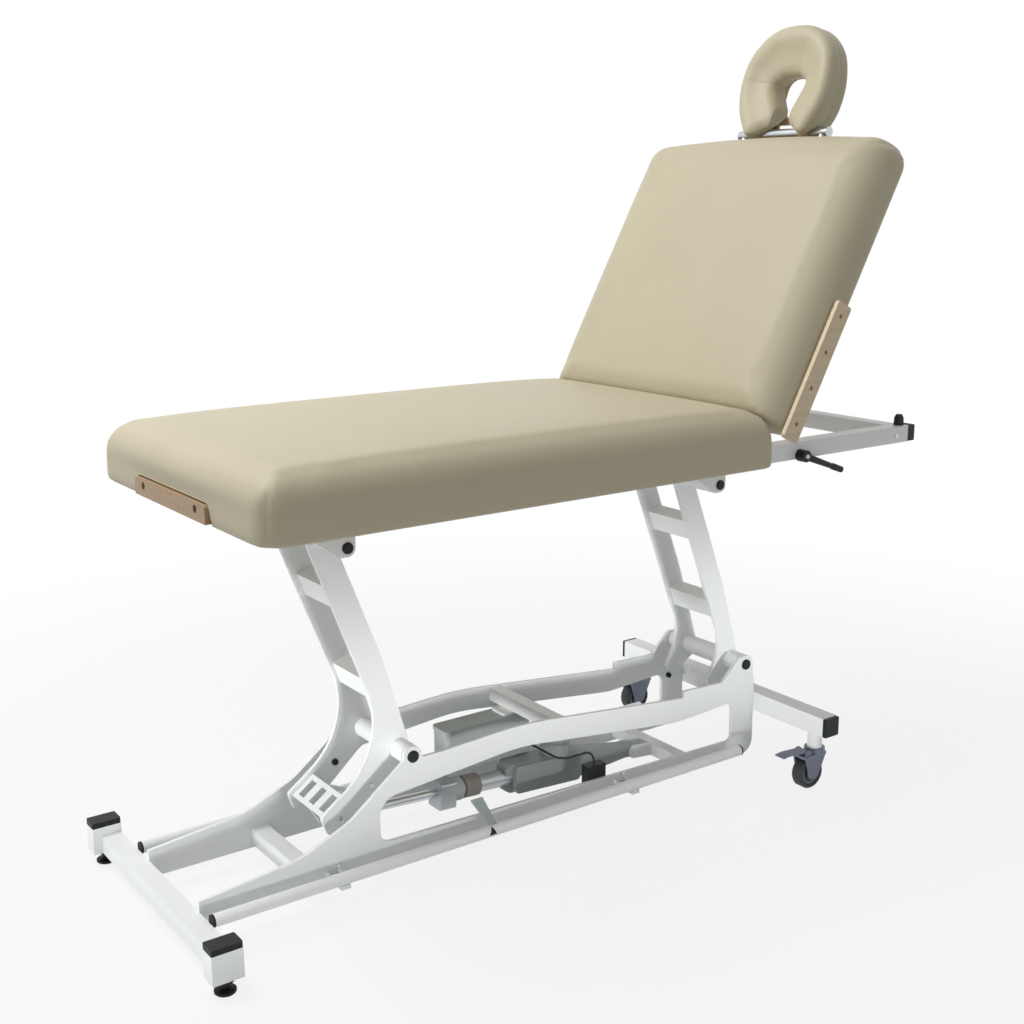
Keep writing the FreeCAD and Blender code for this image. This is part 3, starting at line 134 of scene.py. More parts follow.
# the tools' texture is about 0.3 mm, drawn at 2 to 3 mm so that it shows
blackNylon = mouldedPlastic("mouldedNylonBlack", "#121517", 0.5, 2.5, 0.05, 0.25)
blackRubber = mouldedPlastic("mouldedRubberBlack", "#17191B", 0.72, 3.0, 0.06)
greyAbs = mouldedPlastic("mouldedAbsGreyGreen", "#A6AFAC", 0.5, 2.5, 0.05)
darkAbs = mouldedPlastic("mouldedAbsDarkGrey", "#99A29F", 0.5, 2.5, 0.05)
clayNylon = mouldedPlastic("mouldedNylonClay", "#877F79", 0.55, 2.5, 0.05)
slateNylon = mouldedPlastic("mouldedNylonSlateBlue", "#70778A", 0.42, 2.0, 0.04)
treadRubber = mouldedPlastic("castPolyurethaneTread", "#22272B", 0.6, 2.5, 0.05)


def workedMetal(name, pale, deep, rough, streakMm):
    # turned or drawn metal: fine streaks along the work show as a small drift of tone and gloss
    material, tree, shader, coords = startMaterial(name, {"Metallic": 1.0, "Roughness": rough})
    alongWork = (1.0, 0.08, 1.0)
    stretched = addNode(tree, "ShaderNodeMapping", {"Scale": alongWork}, {"Vector": coords})
    streaks = addNode(tree, "ShaderNodeTexNoise", {"Scale": perMetre(streakMm), "Detail": 4.0},
                      {"Vector": stretched.outputs["Vector"]})
    toned = addNode(tree, "ShaderNodeMix", {"data_type": "RGBA", 6: hexColour(deep), 7: hexColour(pale)},
                    {0: streaks.outputs["Fac"]})
    tree.links.new(toned.outputs[2], shader.inputs["Base Color"])
    gloss = addNode(tree, "ShaderNodeMapRange", {"To Min": rough - 0.05, "To Max": rough + 0.08},
                    {"Value": streaks.outputs["Fac"]})
    tree.links.new(gloss.outputs["Result"], shader.inputs["Roughness"])
    return material


# tool marks are under 0.2 mm, drawn at 3 mm so that they show
brightSteel = workedMetal("turnedBrightSteel", "#CDD0D2", "#B4B8BA", 0.24, 3.0)
satinAluminium = workedMetal("drawnSatinAluminium", "#B9BDC0", "#A6ABAE", 0.38, 3.0)

# Stoved enamel on the spring's cylinder: near black, smooth and glossy.
enamelLook = {"colour": "#14161A", "dustMm": 40, "glossiest": 0.18, "dullest": 0.3}
blackEnamel, tree, shader, coords = startMaterial(
    "stovedBlackEnamel", {"Base Color": hexColour(enamelLook["colour"]), "Roughness": 0.22, "Coat Weight": 0.4,
                          "Coat Roughness": 0.08})
dust = addNode(tree, "ShaderNodeTexNoise", {"Scale": perMetre(enamelLook["dustMm"]), "Detail": 3.0},
               {"Vector": coords})
gloss = addNode(tree, "ShaderNodeMapRange", {"To Min": enamelLook["glossiest"], "To Max": enamelLook["dullest"]},
                {"Value": dust.outputs["Fac"]})
tree.links.new(gloss.outputs["Result"], shader.inputs["Roughness"])


def sawnWood(name, pale, deep, ringMm, turn, rough):
    # planed wood under clear lacquer: long figure along the piece, fine pores, a soft gloss
    material, tree, shader, coords = startMaterial(name, {"Roughness": rough, "IOR": 1.5})
    alongGrain = (0.07, 1.0, 1.0)
    laid = addNode(tree, "ShaderNodeMapping", {"Rotation": turn, "Scale": alongGrain}, {"Vector": coords})
    figure = addNode(tree, "ShaderNodeTexNoise", {"Scale": perMetre(ringMm), "Detail": 4.0, "Distortion": 0.6},
                     {"Vector": laid.outputs["Vector"]})
    pores = addNode(tree, "ShaderNodeTexNoise", {"Scale": perMetre(ringMm / 5), "Detail": 2.0},
                    {"Vector": laid.outputs["Vector"]})
    blended = addNode(tree, "ShaderNodeMath", {"operation": "MULTIPLY_ADD", 1: 0.35},
                      {0: pores.outputs["Fac"], 2: figure.outputs["Fac"]})
    spread = addNode(tree, "ShaderNodeMapRange", {"From Min": 0.4, "From Max": 0.95},
                     {"Value": blended.outputs["Value"]})
    toned = addNode(tree, "ShaderNodeMix", {"data_type": "RGBA", 6: hexColour(deep), 7: hexColour(pale)},
                    {0: spread.outputs["Result"]})
    tree.links.new(toned.outputs[2], shader.inputs["Base Color"])
    poreDepthMm = 0.08
    relief = addNode(tree, "ShaderNodeBump", {"Strength": 0.15, "Distance": poreDepthMm / 1000},
                     {"Height": pores.outputs["Fac"]})
    tree.links.new(relief.outputs["Normal"], shader.inputs["Normal"])
    return material


alongBack = (0.0, math.radians(slopes["backDegrees"]), 0.0)
acrossPiece = (0.0, 0.0, math.radians(90))
mapleStrip = sawnWood("lacqueredMapleStrip", "#EBD9BA", "#D6BF9A", 7.0, alongBack, 0.42)
mapleBlock = sawnWood("lacqueredMapleBlock", "#B99B79", "#A08261", 7.0, acrossPiece, 0.42)
birchPly = sawnWood("sandedBirchPlywood", "#CDB58D", "#B99D72", 9.0, (0.0, 0.0, 0.0), 0.6)
print("stage: materials made")

nodeFinish = {
    whiteCoat: ("side_plate_near side_plate_far foot_beam foot_posts base_cross_tubes caster_beam caster_sockets "
                "foot_bar_near foot_bar_far foot_bar_brackets front_leg_plates front_leg_rungs rear_leg_plates "
                "rear_leg_rungs lever_yoke top_rail_near top_rail_far top_cross_rails leg_lugs hinge_lugs "
                "hinge_arms actuator_anchor box_hanger"),
    blackNylon: ("base_end_caps levelling_feet base_pivot_caps top_pivot_caps release_lever "
                 "foot_bar_near_plugs foot_bar_far_plugs power_inlet foot_switch"),
    blackRubber: "rail_rubbers switch_cable",
    brightSteel: "base_pivot_shafts top_pivot_shafts bracket_bolts actuator_rod gas_rod face_rest_frame",
    blackEnamel: "gas_cylinder",
    greyAbs: "control_box control_box_lid",
    darkAbs: "actuator_housing",
    satinAluminium: "actuator_tube",
    birchPly: "seat_deck back_deck face_rest_platform",
    mapleStrip: "side_strips",
    mapleBlock: "foot_end_block head_end_block",
    slateNylon: "caster_fork_near caster_fork_far caster_pedal_near caster_pedal_far",
    treadRubber: "caster_wheel_near caster_wheel_far",
}
for finish, names in nodeFinish.items():
    for name in names.split():
        node = cadNodes[name]
        if not node.material_slots:
            node.data.materials.append(finish)
        for materialSlot in node.material_slots:
            materialSlot.material = finish
print("stage: solids finished")


def meshObject(name, points, faces, finish, smooth=True):
    mesh = bpy.data.meshes.new(name)
    mesh.from_pydata([tuple(p) for p in points], [], faces)
    tidy = bmesh.new()
    tidy.from_mesh(mesh)
    bmesh.ops.recalc_face_normals(tidy, faces=tidy.faces)
    tidy.to_mesh(mesh)
    tidy.free()
    piece = bpy.data.objects.new(name, mesh)
    scene.collection.objects.link(piece)
    mesh.materials.append(finish)
    if smooth:
        mesh.polygons.foreach_set("use_smooth", [True] * len(mesh.polygons))
    return piece


def seat(piece, body):
    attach(piece, body)
    return piece


def keepMesh(piece):
    # swaps the piece's mesh for the one its modifiers give
    graph = bpy.context.evaluated_depsgraph_get()
    shaped = bpy.data.meshes.new_from_object(piece.evaluated_get(graph))
    piece.modifiers.clear()
    piece.data = shaped


def addSmoothing(piece, levels):
    piece.modifiers.new("finer", "SUBSURF").render_levels = levels
    piece.modifiers["finer"].levels = levels
    keepMesh(piece)


def inflate(piece, settings, upright):
    # the cover is blown out by the foam's push, held at its lower edge, and its movement is softly capped
    start = [v.co.copy() for v in piece.data.vertices]
    outward = [v.normal.copy() for v in piece.data.vertices]
    flat = [upright @ p for p in start]
    floorLine = min(p.z for p in flat) + settings["heldMm"] / 1000
    held = piece.vertex_groups.new(name="held")
    held.add([i for i, p in enumerate(flat) if p.z < floorLine], 1.0, "REPLACE")
    cloth = piece.modifiers.new("cover", "CLOTH")
    cloth.settings.vertex_group_mass = "held"
    cloth.settings.use_pressure = True
    cloth.settings.uniform_pressure_force = settings["pressure"]
    cloth.settings.quality = 4
    cloth.settings.effector_weights.gravity = 0.0
    cloth.point_cache.frame_start = 1
    cloth.point_cache.frame_end = settings["frames"]
    for number in range(1, settings["frames"] + 1):
        scene.frame_set(number)
    graph = bpy.context.evaluated_depsgraph_get()
    blown = piece.evaluated_get(graph).data
    moved = [v.co.copy() for v in blown.vertices]
    piece.modifiers.clear()
    piece.vertex_groups.clear()
    scene.frame_set(1)
    turn = upright.to_3x3()
    back = turn.inverted()
    sideCap, topCap = settings["sideCapMm"] / 1000, settings["topCapMm"] / 1000
    for vertex, before, after, normal in zip(piece.data.vertices, start, moved, outward):
        step = turn @ (after - before)
        if (after - before).dot(normal) < 0:
            step *= settings["drawIn"]
        step.x = sideCap * math.tanh(step.x / sideCap)
        step.y = sideCap * math.tanh(step.y / sideCap)
        step.z = topCap * math.tanh(step.z / topCap)
        vertex.co = before + back @ step
    relaxed = piece.modifiers.new("relaxed", "SMOOTH")
    relaxed.factor, relaxed.iterations = 0.5, settings["relaxSteps"]
    keepMesh(piece)


padMesh = {"cornerSteps": 8, "leastRadiusMm": 3.0, "lowStepDegrees": 30, "topStepDegrees": 9, "relaxSteps": 2}


def padRing(settings, inset, level):
    # one level of the slab: its plan outline drawn in by the inset, less at the hinge end
    x0, x1 = settings["alongMm"]
    half = settings["halfWidthMm"]
    hingeInset = inset * settings["hingeRound"]
    low = x0 + (hingeInset if settings["hingeEnd"] == "low" else inset)
    high = x1 - (hingeInset if settings["hingeEnd"] == "high" else inset)
    side = half - inset
    free = max(settings["cornerMm"] - inset, padMesh["leastRadiusMm"])
    tight = max(settings["hingeCornerMm"] - hingeInset, padMesh["leastRadiusMm"])
    lowRadius, highRadius = (tight, free) if settings["hingeEnd"] == "low" else (free, tight)
    points = []
    corners = ((high, side, highRadius, 0), (low, side, lowRadius, 90), (low, -side, lowRadius, 180),
               (high, -side, highRadius, 270))
    for x, y, radius, start in corners:
        centreX = x - math.copysign(radius, x - (x0 + x1) / 2)
        centreY = y - math.copysign(radius, y)
        for k in range(padMesh["cornerSteps"] + 1):
            angle = math.radians(start + 90 * k / padMesh["cornerSteps"])
            spot = (centreX + radius * math.cos(angle), centreY + radius * math.sin(angle), level)
            points.append(Vector(spot) / 1000)
    return points


def roundedPad(name, settings, finish):
    # a foam slab with rounded plan corners and a soft top edge, remeshed evenly for the cover
    low, high = settings["upMm"]
    top, under = settings["topRoundMm"], settings["lowRoundMm"]
    profile = []
    for degrees in range(0, 91, padMesh["lowStepDegrees"]):
        a = math.radians(degrees)
        profile.append((under * (1 - math.sin(a)), low + under * (1 - math.cos(a))))
    for degrees in range(0, 91, padMesh["topStepDegrees"]):
        a = math.radians(degrees)
        profile.append((top * (1 - math.cos(a)), high - top * (1 - math.sin(a))))
    points, faces = [], []
    for inset, level in profile:
        points += padRing(settings, inset, level)
    count = len(points) // len(profile)
    for i in range(len(profile) - 1):
        for k in range(count):
            j = (k + 1) % count
            faces.append((i * count + k, i * count + j, (i + 1) * count + j, (i + 1) * count + k))
    faces.append(tuple(range(count)))
    faces.append(tuple(range(len(points) - count, len(points))))
    piece = meshObject(name, points, faces, finish)
    even = piece.modifiers.new("even", "REMESH")
    even.mode = "VOXEL"
    even.voxel_size = settings["voxelMm"] / 1000
    keepMesh(piece)
    relax = piece.modifiers.new("relax", "SMOOTH")
    relax.factor, relax.iterations = 0.5, padMesh["relaxSteps"]
    keepMesh(piece)
    return piece


def smoothStep(low, high, value):
    f = max(0.0, min(1.0, (value - low) / (high - low)))
    return f * f * (3 - 2 * f)


# Where the crown, the bow and the seams begin and end, as shares of the pad's height and half length, or in metres.
padForm = {"crownFrom": 0.35, "bowFrom": 0.72, "bowPower": 1.3, "bowLow": 0.4, "bowHigh": 0.7, "seamEdgeM": 0.01,
           "seamWidthM": 0.004, "seamFullM": 0.04, "diagonal": 0.7}


def crownAndSeam(piece, settings):
    # the foam stands proud in the middle and bows out at the free end, with a sewn seam at each free corner
    x0, x1 = settings["alongMm"][0] / 1000, settings["alongMm"][1] / 1000
    z0, z1 = settings["upMm"][0] / 1000, settings["upMm"][1] / 1000
    half, corner = settings["halfWidthMm"] / 1000, settings["cornerMm"] / 1000
    middle, tall = (x0 + x1) / 2, z1 - z0
    outward = 1 if settings["hingeEnd"] == "low" else -1
    for vertex in piece.data.vertices:
        p = vertex.co
        u = max(-1.0, min(1.0, (p.x - middle) / ((x1 - x0) / 2)))
        v = max(-1.0, min(1.0, p.y / half))
        lift = smoothStep(z0 + padForm["crownFrom"] * tall, z1, p.z)
        p.z += settings["crownMm"] / 1000 * (1 - u ** 4) * (1 - v ** 4) * lift
        bow = smoothStep(padForm["bowFrom"], 1.0, outward * u) * (1 - v * v) ** padForm["bowPower"]
        bow *= smoothStep(z0 + padForm["bowLow"] * tall, z0 + padForm["bowHigh"] * tall, p.z)
        p.x += outward * settings["endBowMm"] / 1000 * bow
        inX = outward * (p.x - middle) - ((x1 - x0) / 2 - corner)
        inY = abs(p.y) - (half - corner)
        if inX > -padForm["seamEdgeM"] and inY > -padForm["seamEdgeM"]:
            offSeam = abs(inX - inY) / math.sqrt(2)
            reach = math.hypot(max(0.0, inX), max(0.0, inY))
            fall = math.exp(-(offSeam / padForm["seamWidthM"]) ** 2)
            depth = settings["seamMm"] / 1000 * fall * min(1.0, reach / padForm["seamFullM"])
            p.x -= outward * depth * padForm["diagonal"]
            p.y -= math.copysign(depth * padForm["diagonal"], p.y)
        # room for the wooden block, the hinge, the rail buffers and the deck, cut up from below
        for fromX, toX, fromY, toY, roof in settings["notchesMm"]:
            if fromX < p.x * 1000 < toX and fromY < abs(p.y) * 1000 < toY and p.z * 1000 < roof:
                p.z = roof / 1000


def upholster(name, settings, placed, body, solid):
    piece = roundedPad(name, settings, softVinyl)
    inflate(piece, settings, Matrix.Identity(4))
    crownAndSeam(piece, settings)
    addSmoothing(piece, 1)
    piece.data.transform(placed)
    piece.data.polygons.foreach_set("use_smooth", [True] * len(piece.data.polygons))
    seat(piece, body)
    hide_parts(solid)
    return piece


seatPad = {"alongMm": (-870.9, 297.6), "halfWidthMm": 380.6, "upMm": (796.6, 913), "cornerMm": 46, "topRoundMm": 56,
           "lowRoundMm": 5, "hingeEnd": "high", "hingeRound": 0.6, "hingeCornerMm": 20, "voxelMm": 8, "heldMm": 30,
           "pressure": 4.0, "frames": 16, "topCapMm": 5, "sideCapMm": 2, "drawIn": 0.15, "relaxSteps": 6,
           "crownMm": 18, "endBowMm": 7, "seamMm": 2.6, "fill": 0.85,
           # from x, to x, from y, to y on both sides, and the roof
           "notchesMm": [(-900, -795, -1, 168, 841), (250, 310, 162, 191, 892), (-846, 310, -1, 352, 804)]}
upholster("seatCushion", seatPad, Matrix.Identity(4), "top_frame", "seat_cushion")
print("stage: seat cushion")

backPad = {"alongMm": (17, 701.5), "halfWidthMm": 380.6, "upMm": (-68.8, 37), "cornerMm": 62, "topRoundMm": 72,
           "lowRoundMm": 6, "hingeEnd": "low", "hingeRound": 0.45, "hingeCornerMm": 20, "voxelMm": 8, "heldMm": 30,
           "pressure": 4.0, "frames": 16, "topCapMm": 5, "sideCapMm": 2, "drawIn": 0.15, "relaxSteps": 6,
           "crownMm": 11, "endBowMm": 15, "seamMm": 2.6, "fill": 0.85,
           "notchesMm": [(622, 760, -1, 153, -28), (634, 672, 159, 197, -38)]}
upholster("backCushion", backPad, backSlope, "back", "back_cushion")
print("stage: back cushion")

# Face rest: a plump horseshoe, its rim raised at the front and the inside dished for the cheeks.
# Each knot is across the table, up from the bar, and half the pad's width there, in mm.
faceRing = {"path": [(-71, 43, 49), (-83, 66, 50), (-92, 95, 48), (-92, 126, 47.5), (-77, 157.5, 54), (-43, 184, 57),
                     (0, 190, 58)],
            "lowMm": -37.5, "heightMm": 75, "endRoundMm": 24, "ringSteps": 10, "tipMm": 22, "taper": 0.16,
            "taperOverMm": 100, "capSteps": 6, "capDegrees": 88, "tipWidth": 0.55, "tipHeight": 0.15,
            "midHeight": 0.42, "hangFrom": 0.62, "hangTo": 0.74,
            "section": [(-0.86, 0.0), (-0.96, 0.03), (-1.0, 0.14), (-0.985, 0.31), (-0.95, 0.365), (-0.91, 0.385),
                        (-0.95, 0.405), (-0.99, 0.46), (-1.0, 0.58), (-0.985, 0.76), (-0.91, 0.9), (-0.76, 0.985),
                        (-0.56, 1.0), (-0.36, 0.955), (-0.15, 0.865), (0.1, 0.79), (0.35, 0.755), (0.6, 0.74),
                        (0.8, 0.7), (0.94, 0.59), (1.0, 0.44), (1.0, 0.18), (0.96, 0.04), (0.86, 0.0), (0.4, 0.0),
                        (0.0, 0.0), (-0.4, 0.0)],
            "heldMm": 8, "pressure": 3.0, "frames": 12, "topCapMm": 3, "sideCapMm": 2.5, "drawIn": 0.6,
            "relaxSteps": 1, "fill": 0.9}


def curveThrough(knots, steps):
    # a smooth run through the knots, the way a bent batten would take them
    points = []
    for i in range(len(knots) - 1):
        a, b = knots[max(0, i - 1)], knots[i]
        c, d = knots[i + 1], knots[min(len(knots) - 1, i + 2)]
        for k in range(steps):
            f = k / steps
            points.append(tuple(
                0.5 * ((2 * q) + (r - p) * f + (2 * p - 5 * q + 4 * r - z) * f * f + (3 * q - p - 3 * r + z) * f ** 3)
                for p, q, r, z in zip(a, b, c, d)))
    points.append(tuple(knots[-1]))
    return points


def horseshoe(name, settings, finish):
    nearSide = settings["path"]
    knots = nearSide + [(-y, s, w) for y, s, w in reversed(nearSide[:-1])]
    rings = curveThrough(knots, settings["ringSteps"])
    stations = []
    for i, (y, s, w) in enumerate(rings):
        before, after = rings[max(0, i - 1)], rings[min(len(rings) - 1, i + 1)]
        tangent = Vector((after[0] - before[0], after[1] - before[1])).normalized()
        stations.append((Vector((y, s)), tangent, w, 1.0))
    capSteps = settings["capSteps"]
    for atEnd in (False, True):
        place, tangent, w = (stations[-1] if atEnd else stations[0])[:3]
        outward = tangent if atEnd else -tangent
        for k in range(1, capSteps + 1):
            angle = math.radians(settings["capDegrees"] * k / capSteps)
            station = (place + outward * settings["endRoundMm"] * math.sin(angle), tangent, w, math.cos(angle))
            if atEnd:
                stations.append(station)
            else:
                stations.insert(0, station)
    section = settings["section"]
    points, faces = [], []
    last = len(stations) - 1
    for i, (place, tangent, w, scale) in enumerate(stations):
        inward = Vector((tangent.y, -tangent.x))
        toEnd = -tangent if i < last - i else tangent
        nearEnd = 1 - smoothStep(capSteps, capSteps + settings["ringSteps"], min(i, last - i))
        plump = settings["heightMm"] * (1 + settings["taper"] * (1 - place.y / settings["taperOverMm"]))
        wide = w * (settings["tipWidth"] + (1 - settings["tipWidth"]) * scale)
        shrink = settings["tipHeight"] + (1 - settings["tipHeight"]) * math.sqrt(scale)
        for n, h in section:
            # the front layer hangs lower than the rear one, over the bar
            hang = settings["tipMm"] * nearEnd * smoothStep(settings["hangFrom"], settings["hangTo"], h)
            spot = place + inward * n * wide + toEnd * hang
            height = settings["midHeight"] + (h - settings["midHeight"]) * shrink if scale < 1 else h
            points.append(faceSlope @ Vector((spot.y / 1000, spot.x / 1000,
                                              (settings["lowMm"] + height * plump) / 1000)))
    count = len(section)
    for i in range(len(stations) - 1):
        for k in range(count):
            j = (k + 1) % count
            faces.append((i * count + k, i * count + j, (i + 1) * count + j, (i + 1) * count + k))
    faces.append(tuple(range(count)))
    faces.append(tuple(range((len(stations) - 1) * count, len(stations) * count)))
    return meshObject(name, points, faces, finish)


facePad = horseshoe("faceCushion", faceRing, softVinyl)
inflate(facePad, faceRing, faceSlope.inverted())
addSmoothing(facePad, 1)
seat(facePad, "face_rest_head")
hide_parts("face_rest_cushion")
print("stage: face cushion")


def turnedPiece(name, profile, centre, axis, finish, body, sides=32):
    # profile: along the axis and out from it, in mm, from one end to the other
    axis = Vector(axis).normalized()
    first = axis.orthogonal().normalized()
    second = axis.cross(first)
    leastOutMm = 0.02  # keeps the end faces open where a profile meets the axis
    points, faces = [], []
    for along, out in profile:
        for k in range(sides):
            angle = 2 * math.pi * k / sides
            spoke = first * math.cos(angle) + second * math.sin(angle)
            points.append(Vector(centre) + axis * along / 1000 + spoke * max(out, leastOutMm) / 1000)
    for i in range(len(profile) - 1):
        for k in range(sides):
            j = (k + 1) % sides
            faces.append((i * sides + k, i * sides + j, (i + 1) * sides + j, (i + 1) * sides + k))
    faces.append(tuple(range(sides)))
    faces.append(tuple(range((len(profile) - 1) * sides, len(profile) * sides)))
    piece = meshObject(name, points, faces, finish, smooth=False)
    piece.data.shade_smooth()
    piece.data.set_sharp_from_angle(angle=math.radians(32))
    return seat(piece, body)


# Wheel discs: slate nylon with a raised hub and a dished web, one on each face of both wheels.
wheelDisc = {"centreX": 514.5, "sideY": 310, "heightMm": 37.5, "faceMm": 11.0,
             "profile": [(-2.0, 26.0), (0.4, 26.0), (1.4, 25.0), (1.4, 22.5), (0.2, 21.0), (-0.4, 12.5), (0.4, 11.0),
                         (2.2, 10.2), (2.8, 9.0), (2.8, 4.0)]}
for label, side in (("near", -1), ("far", 1)):
    for hand in (-1, 1):
        turnedPiece("wheelDisc_%s_%s" % (label, "outer" if hand == side else "inner"), wheelDisc["profile"],
                    (wheelDisc["centreX"] / 1000, (side * wheelDisc["sideY"] + hand * wheelDisc["faceMm"]) / 1000,
                     wheelDisc["heightMm"] / 1000),
                    (0, hand, 0), slateNylon, "wheel_" + label, 40)
print("stage: wheels")

# Collars on the lift tube: a clay moulding and a plain sleeve, lying along the actuator's axis.
liftAxis = {"point": (-0.06152, 0.0, 0.07875), "along": (-0.9983, 0.0, 0.0576)}
collars = [{"name": "tubeSleeve", "fromMm": 196, "toMm": 222, "radiusMm": 26.5, "finish": greyAbs},
           {"name": "tubeCollar", "fromMm": 150, "toMm": 190, "radiusMm": 25.0, "finish": clayNylon}]
collarEdge = {"roundMm": 1.5, "rimMm": 3}
for collar in collars:
    a, b, r, e = collar["fromMm"], collar["toMm"], collar["radiusMm"], collarEdge["roundMm"]
    inner = r - collarEdge["rimMm"]
    turnedPiece(collar["name"], [(a, inner), (a, r - e), (a + e, r), (b - e, r), (b, r - e), (b, inner)],
                liftAxis["point"], liftAxis["along"], collar["finish"], "base")

# Bolt heads and nuts on the legs and plates: a washer, a chamfered hexagon and the end of the thread.
washerMm = 1.6
washer = [(0, 9.0), (1.2, 9.0), (washerMm, 8.6), (washerMm, 6.8)]
nut = [(0.2, 6.9), (4.6, 6.9), (5.6, 6.0), (5.6, 3.2), (7.4, 3.2), (8.0, 2.6)]
head = [(0, 5.2), (2.4, 5.2), (3.4, 4.4), (3.4, 2.0)]
boltPlaces = [
    {"name": "stopNut_front", "at": (-523.6, 69, 195), "axis": (0, -1, 0), "body": "front_leg", "nut": True},
    {"name": "stopNut_rear", "at": (464, 122, 162), "axis": (0, -1, 0), "body": "base", "nut": True},
    {"name": "plateBolt_front", "at": (-628, -130, 71), "axis": (0, -1, 0), "body": "base", "nut": False},
    {"name": "plateBolt_middle", "at": (102, -130, 78), "axis": (0, -1, 0), "body": "base", "nut": False},
    {"name": "railBolt_near", "at": (907, -198, 777.5), "axis": (0, -1, 0), "body": "top_frame", "nut": False},
    {"name": "leverBolt_high", "at": (-518, -77, 194), "axis": (0, -1, 0), "body": "front_leg", "nut": False},
    {"name": "leverBolt_low", "at": (-592, -77, 141), "axis": (0, -1, 0), "body": "front_leg", "nut": False},
]
for bolt in boltPlaces:
    place = Vector(bolt["at"]) / 1000
    if bolt["nut"]:
        turnedPiece(bolt["name"] + "_washer", washer, place, bolt["axis"], brightSteel, bolt["body"])
        turnedPiece(bolt["name"], nut, place + Vector(bolt["axis"]) * washerMm / 1000, bolt["axis"], blackNylon,
                    bolt["body"], 6)
    else:
        turnedPiece(bolt["name"], head, place, bolt["axis"], brightSteel, bolt["body"], 24)
print("stage: collars and bolts")

# Toe tongue welded to the near foot bar: it is pressed down, or lifted, with the shoe.
tongue = {"rootX": -290, "tipX": -320, "rootY": -177, "tipY": -160, "rootZ": 79, "tipZ": 140, "rootHalfMm": 9,
          "tipHalfMm": 14, "thickMm": 4, "leanOut": 0.8, "leanUp": 0.6, "steps": 8}


def sweptStrip(name, sections, finish, body):
    # four corners at each step, joined to the next step's and closed at both ends
    points = [Vector(corner) / 1000 for section in sections for corner in section]
    faces = []
    for k in range(len(sections) - 1):
        for j in range(4):
            m = (j + 1) % 4
            faces.append((k * 4 + j, k * 4 + m, k * 4 + 4 + m, k * 4 + 4 + j))
    faces += [(0, 1, 2, 3), tuple(range(len(points) - 4, len(points)))]
    return seat(meshObject(name, points, faces, finish, smooth=False), body)


sections = []
for k in range(tongue["steps"] + 1):
    f = k / tongue["steps"]
    wide = tongue["rootHalfMm"] + (tongue["tipHalfMm"] - tongue["rootHalfMm"]) * smoothStep(0, 1, f)
    x, y, z = (tongue["root" + axis] + (tongue["tip" + axis] - tongue["root" + axis]) * f for axis in "XYZ")
    thick = tongue["thickMm"]
    sections.append([(x + across, y - lift * tongue["leanOut"], z + lift * tongue["leanUp"])
                     for across, lift in ((-wide, 0), (wide, 0), (wide, thick), (-wide, thick))])
sweptStrip("toeTongue", sections, darkAbs, "foot_bar_near")

# A plain printed triangle on the bar, below the tongue, laid round the tube.
mark = {"atX": -298, "barY": -179, "barZ": 69, "barRadiusMm": 12.5, "halfMm": 9, "tipHalfMm": 0.4, "lowDegrees": -16,
        "highDegrees": 66, "sunkMm": 0.3, "proudMm": 0.4, "steps": 8}
sections = []
for k in range(mark["steps"] + 1):
    f = k / mark["steps"]
    wide = mark["halfMm"] + (mark["tipHalfMm"] - mark["halfMm"]) * f
    angle = math.radians(mark["lowDegrees"] + (mark["highDegrees"] - mark["lowDegrees"]) * f)
    low, high = mark["barRadiusMm"] - mark["sunkMm"], mark["barRadiusMm"] + mark["proudMm"]
    sections.append([(mark["atX"] + across, mark["barY"] - out * math.cos(angle),
                      mark["barZ"] + out * math.sin(angle))
                     for across, out in ((-wide, low), (wide, low), (wide, high), (-wide, high))])
sweptStrip("upMark", sections, blackNylon, "foot_bar_near")
print("stage: tongue and mark")

# Stage: camera at the photograph's place, pale floor and soft lamps.
cameraPlace = {"eye": (-1.7727, -2.3342, 1.3496), "forward": (0.56555, 0.793691, -0.224071),
               "right": (0.813608, -0.581385, -0.00582), "lensMm": 47.874, "sensorMm": 36.0}
camera = bpy.data.objects.new("photoCamera", bpy.data.cameras.new("photoCamera"))
scene.collection.objects.link(camera)
forward, right = Vector(cameraPlace["forward"]), Vector(cameraPlace["right"])
up = right.cross(forward)
camera.matrix_world = Matrix.Translation(cameraPlace["eye"]) @ Matrix((right, up, -forward)).transposed().to_4x4()
camera.data.lens = cameraPlace["lensMm"]
camera.data.sensor_width = cameraPlace["sensorMm"]
camera.data.dof.use_dof = False
scene.camera = camera

studio = {"floorColour": "#D9DADA", "floorSizeM": 60, "nearFill": 0.84, "fadeFromM": 1.0, "fadeToM": 2.8,
          "ambient": 0.36}


def seenByEye(tree):
    # 1 where the camera looks straight at the stage, or sees it in metal or through glass
    path = addNode(tree, "ShaderNodeLightPath")
    direct = addNode(tree, "ShaderNodeMath", {"operation": "MAXIMUM"},
                     {0: path.outputs["Is Camera Ray"], 1: path.outputs["Is Glossy Ray"]})
    return addNode(tree, "ShaderNodeMath", {"operation": "MAXIMUM"},
                   {0: direct.outputs["Value"], 1: path.outputs["Is Transmission Ray"]}).outputs["Value"]


floorPaint, tree, shader, coords = startMaterial(
    "rolledMattPaint", {"Base Color": hexColour(studio["floorColour"]), "Roughness": 0.9})
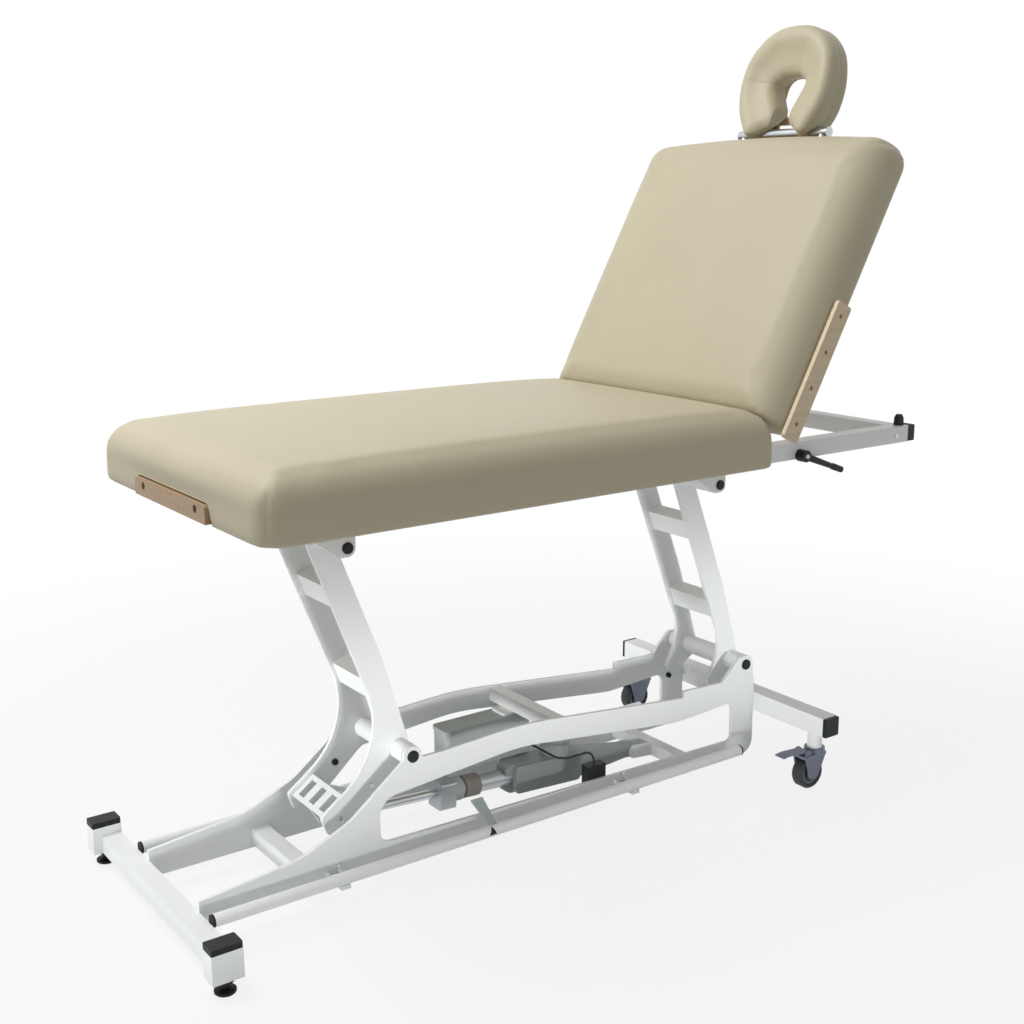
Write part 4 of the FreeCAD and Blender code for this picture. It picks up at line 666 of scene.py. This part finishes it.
# the floor turns to plain white away from the table, so that it has no edge against the backdrop
away = addNode(tree, "ShaderNodeVectorMath", {"operation": "LENGTH"}, {0: coords})
fade = addNode(tree, "ShaderNodeMapRange",
               {"interpolation_type": "SMOOTHSTEP", "From Min": studio["fadeFromM"], "From Max": studio["fadeToM"],
                "To Min": studio["nearFill"], "To Max": 1.0}, {"Value": away.outputs["Value"]})
share = addNode(tree, "ShaderNodeMath", {"operation": "MULTIPLY"}, {0: seenByEye(tree), 1: fade.outputs["Result"]})
glow = addNode(tree, "ShaderNodeEmission", {"Strength": 1.0})
blend = addNode(tree, "ShaderNodeMixShader", {}, {0: share.outputs["Value"], 1: shader.outputs["BSDF"],
                                                  2: glow.outputs["Emission"]})
tree.links.new(blend.outputs["Shader"], tree.nodes["Material Output"].inputs["Surface"])
reach = studio["floorSizeM"] / 2
floor = meshObject("studioFloor", [(-reach, -reach, 0), (reach, -reach, 0), (reach, reach, 0), (-reach, reach, 0)],
                   [(0, 1, 2, 3)], floorPaint, smooth=False)

world = bpy.data.worlds.new("studioWorld")
scene.world = world
world.use_nodes = True
tree = world.node_tree
level = addNode(tree, "ShaderNodeMapRange", {"To Min": studio["ambient"], "To Max": 1.0}, {"Value": seenByEye(tree)})
backdrop = tree.nodes["Background"]
backdrop.inputs["Color"].default_value = hexColour("#FFFFFF")
tree.links.new(level.outputs["Result"], backdrop.inputs["Strength"])

lampSettings = [
    {"name": "overheadSoftbox", "eye": (-1.7, 1.0, 3.6), "aim": (-0.1, 0.0, 0.8), "sizeM": (2.0, 2.0), "watts": 88,
     "spreadDegrees": 180},
    {"name": "lowStripNear", "eye": (-0.1, -3.0, 0.36), "aim": (-0.1, 0.0, 0.36), "sizeM": (2.8, 0.3), "watts": 2.2,
     "spreadDegrees": 16},
    {"name": "lowStripFoot", "eye": (-3.4, -0.2, 0.3), "aim": (0.0, -0.2, 0.3), "sizeM": (1.4, 0.3), "watts": 1.5,
     "spreadDegrees": 16},
]
for lamp in lampSettings:
    light = bpy.data.lights.new(lamp["name"], "AREA")
    light.shape = "RECTANGLE"
    light.size, light.size_y = lamp["sizeM"]
    light.energy, light.spread = lamp["watts"], math.radians(lamp["spreadDegrees"])
    holder = bpy.data.objects.new(lamp["name"], light)
    scene.collection.objects.link(holder)
    holder.location = lamp["eye"]
    holder.rotation_euler = (Vector(lamp["aim"]) - Vector(lamp["eye"])).to_track_quat("-Z", "Y").to_euler()
scene.view_settings.view_transform = "Standard"
print("stage: studio set")
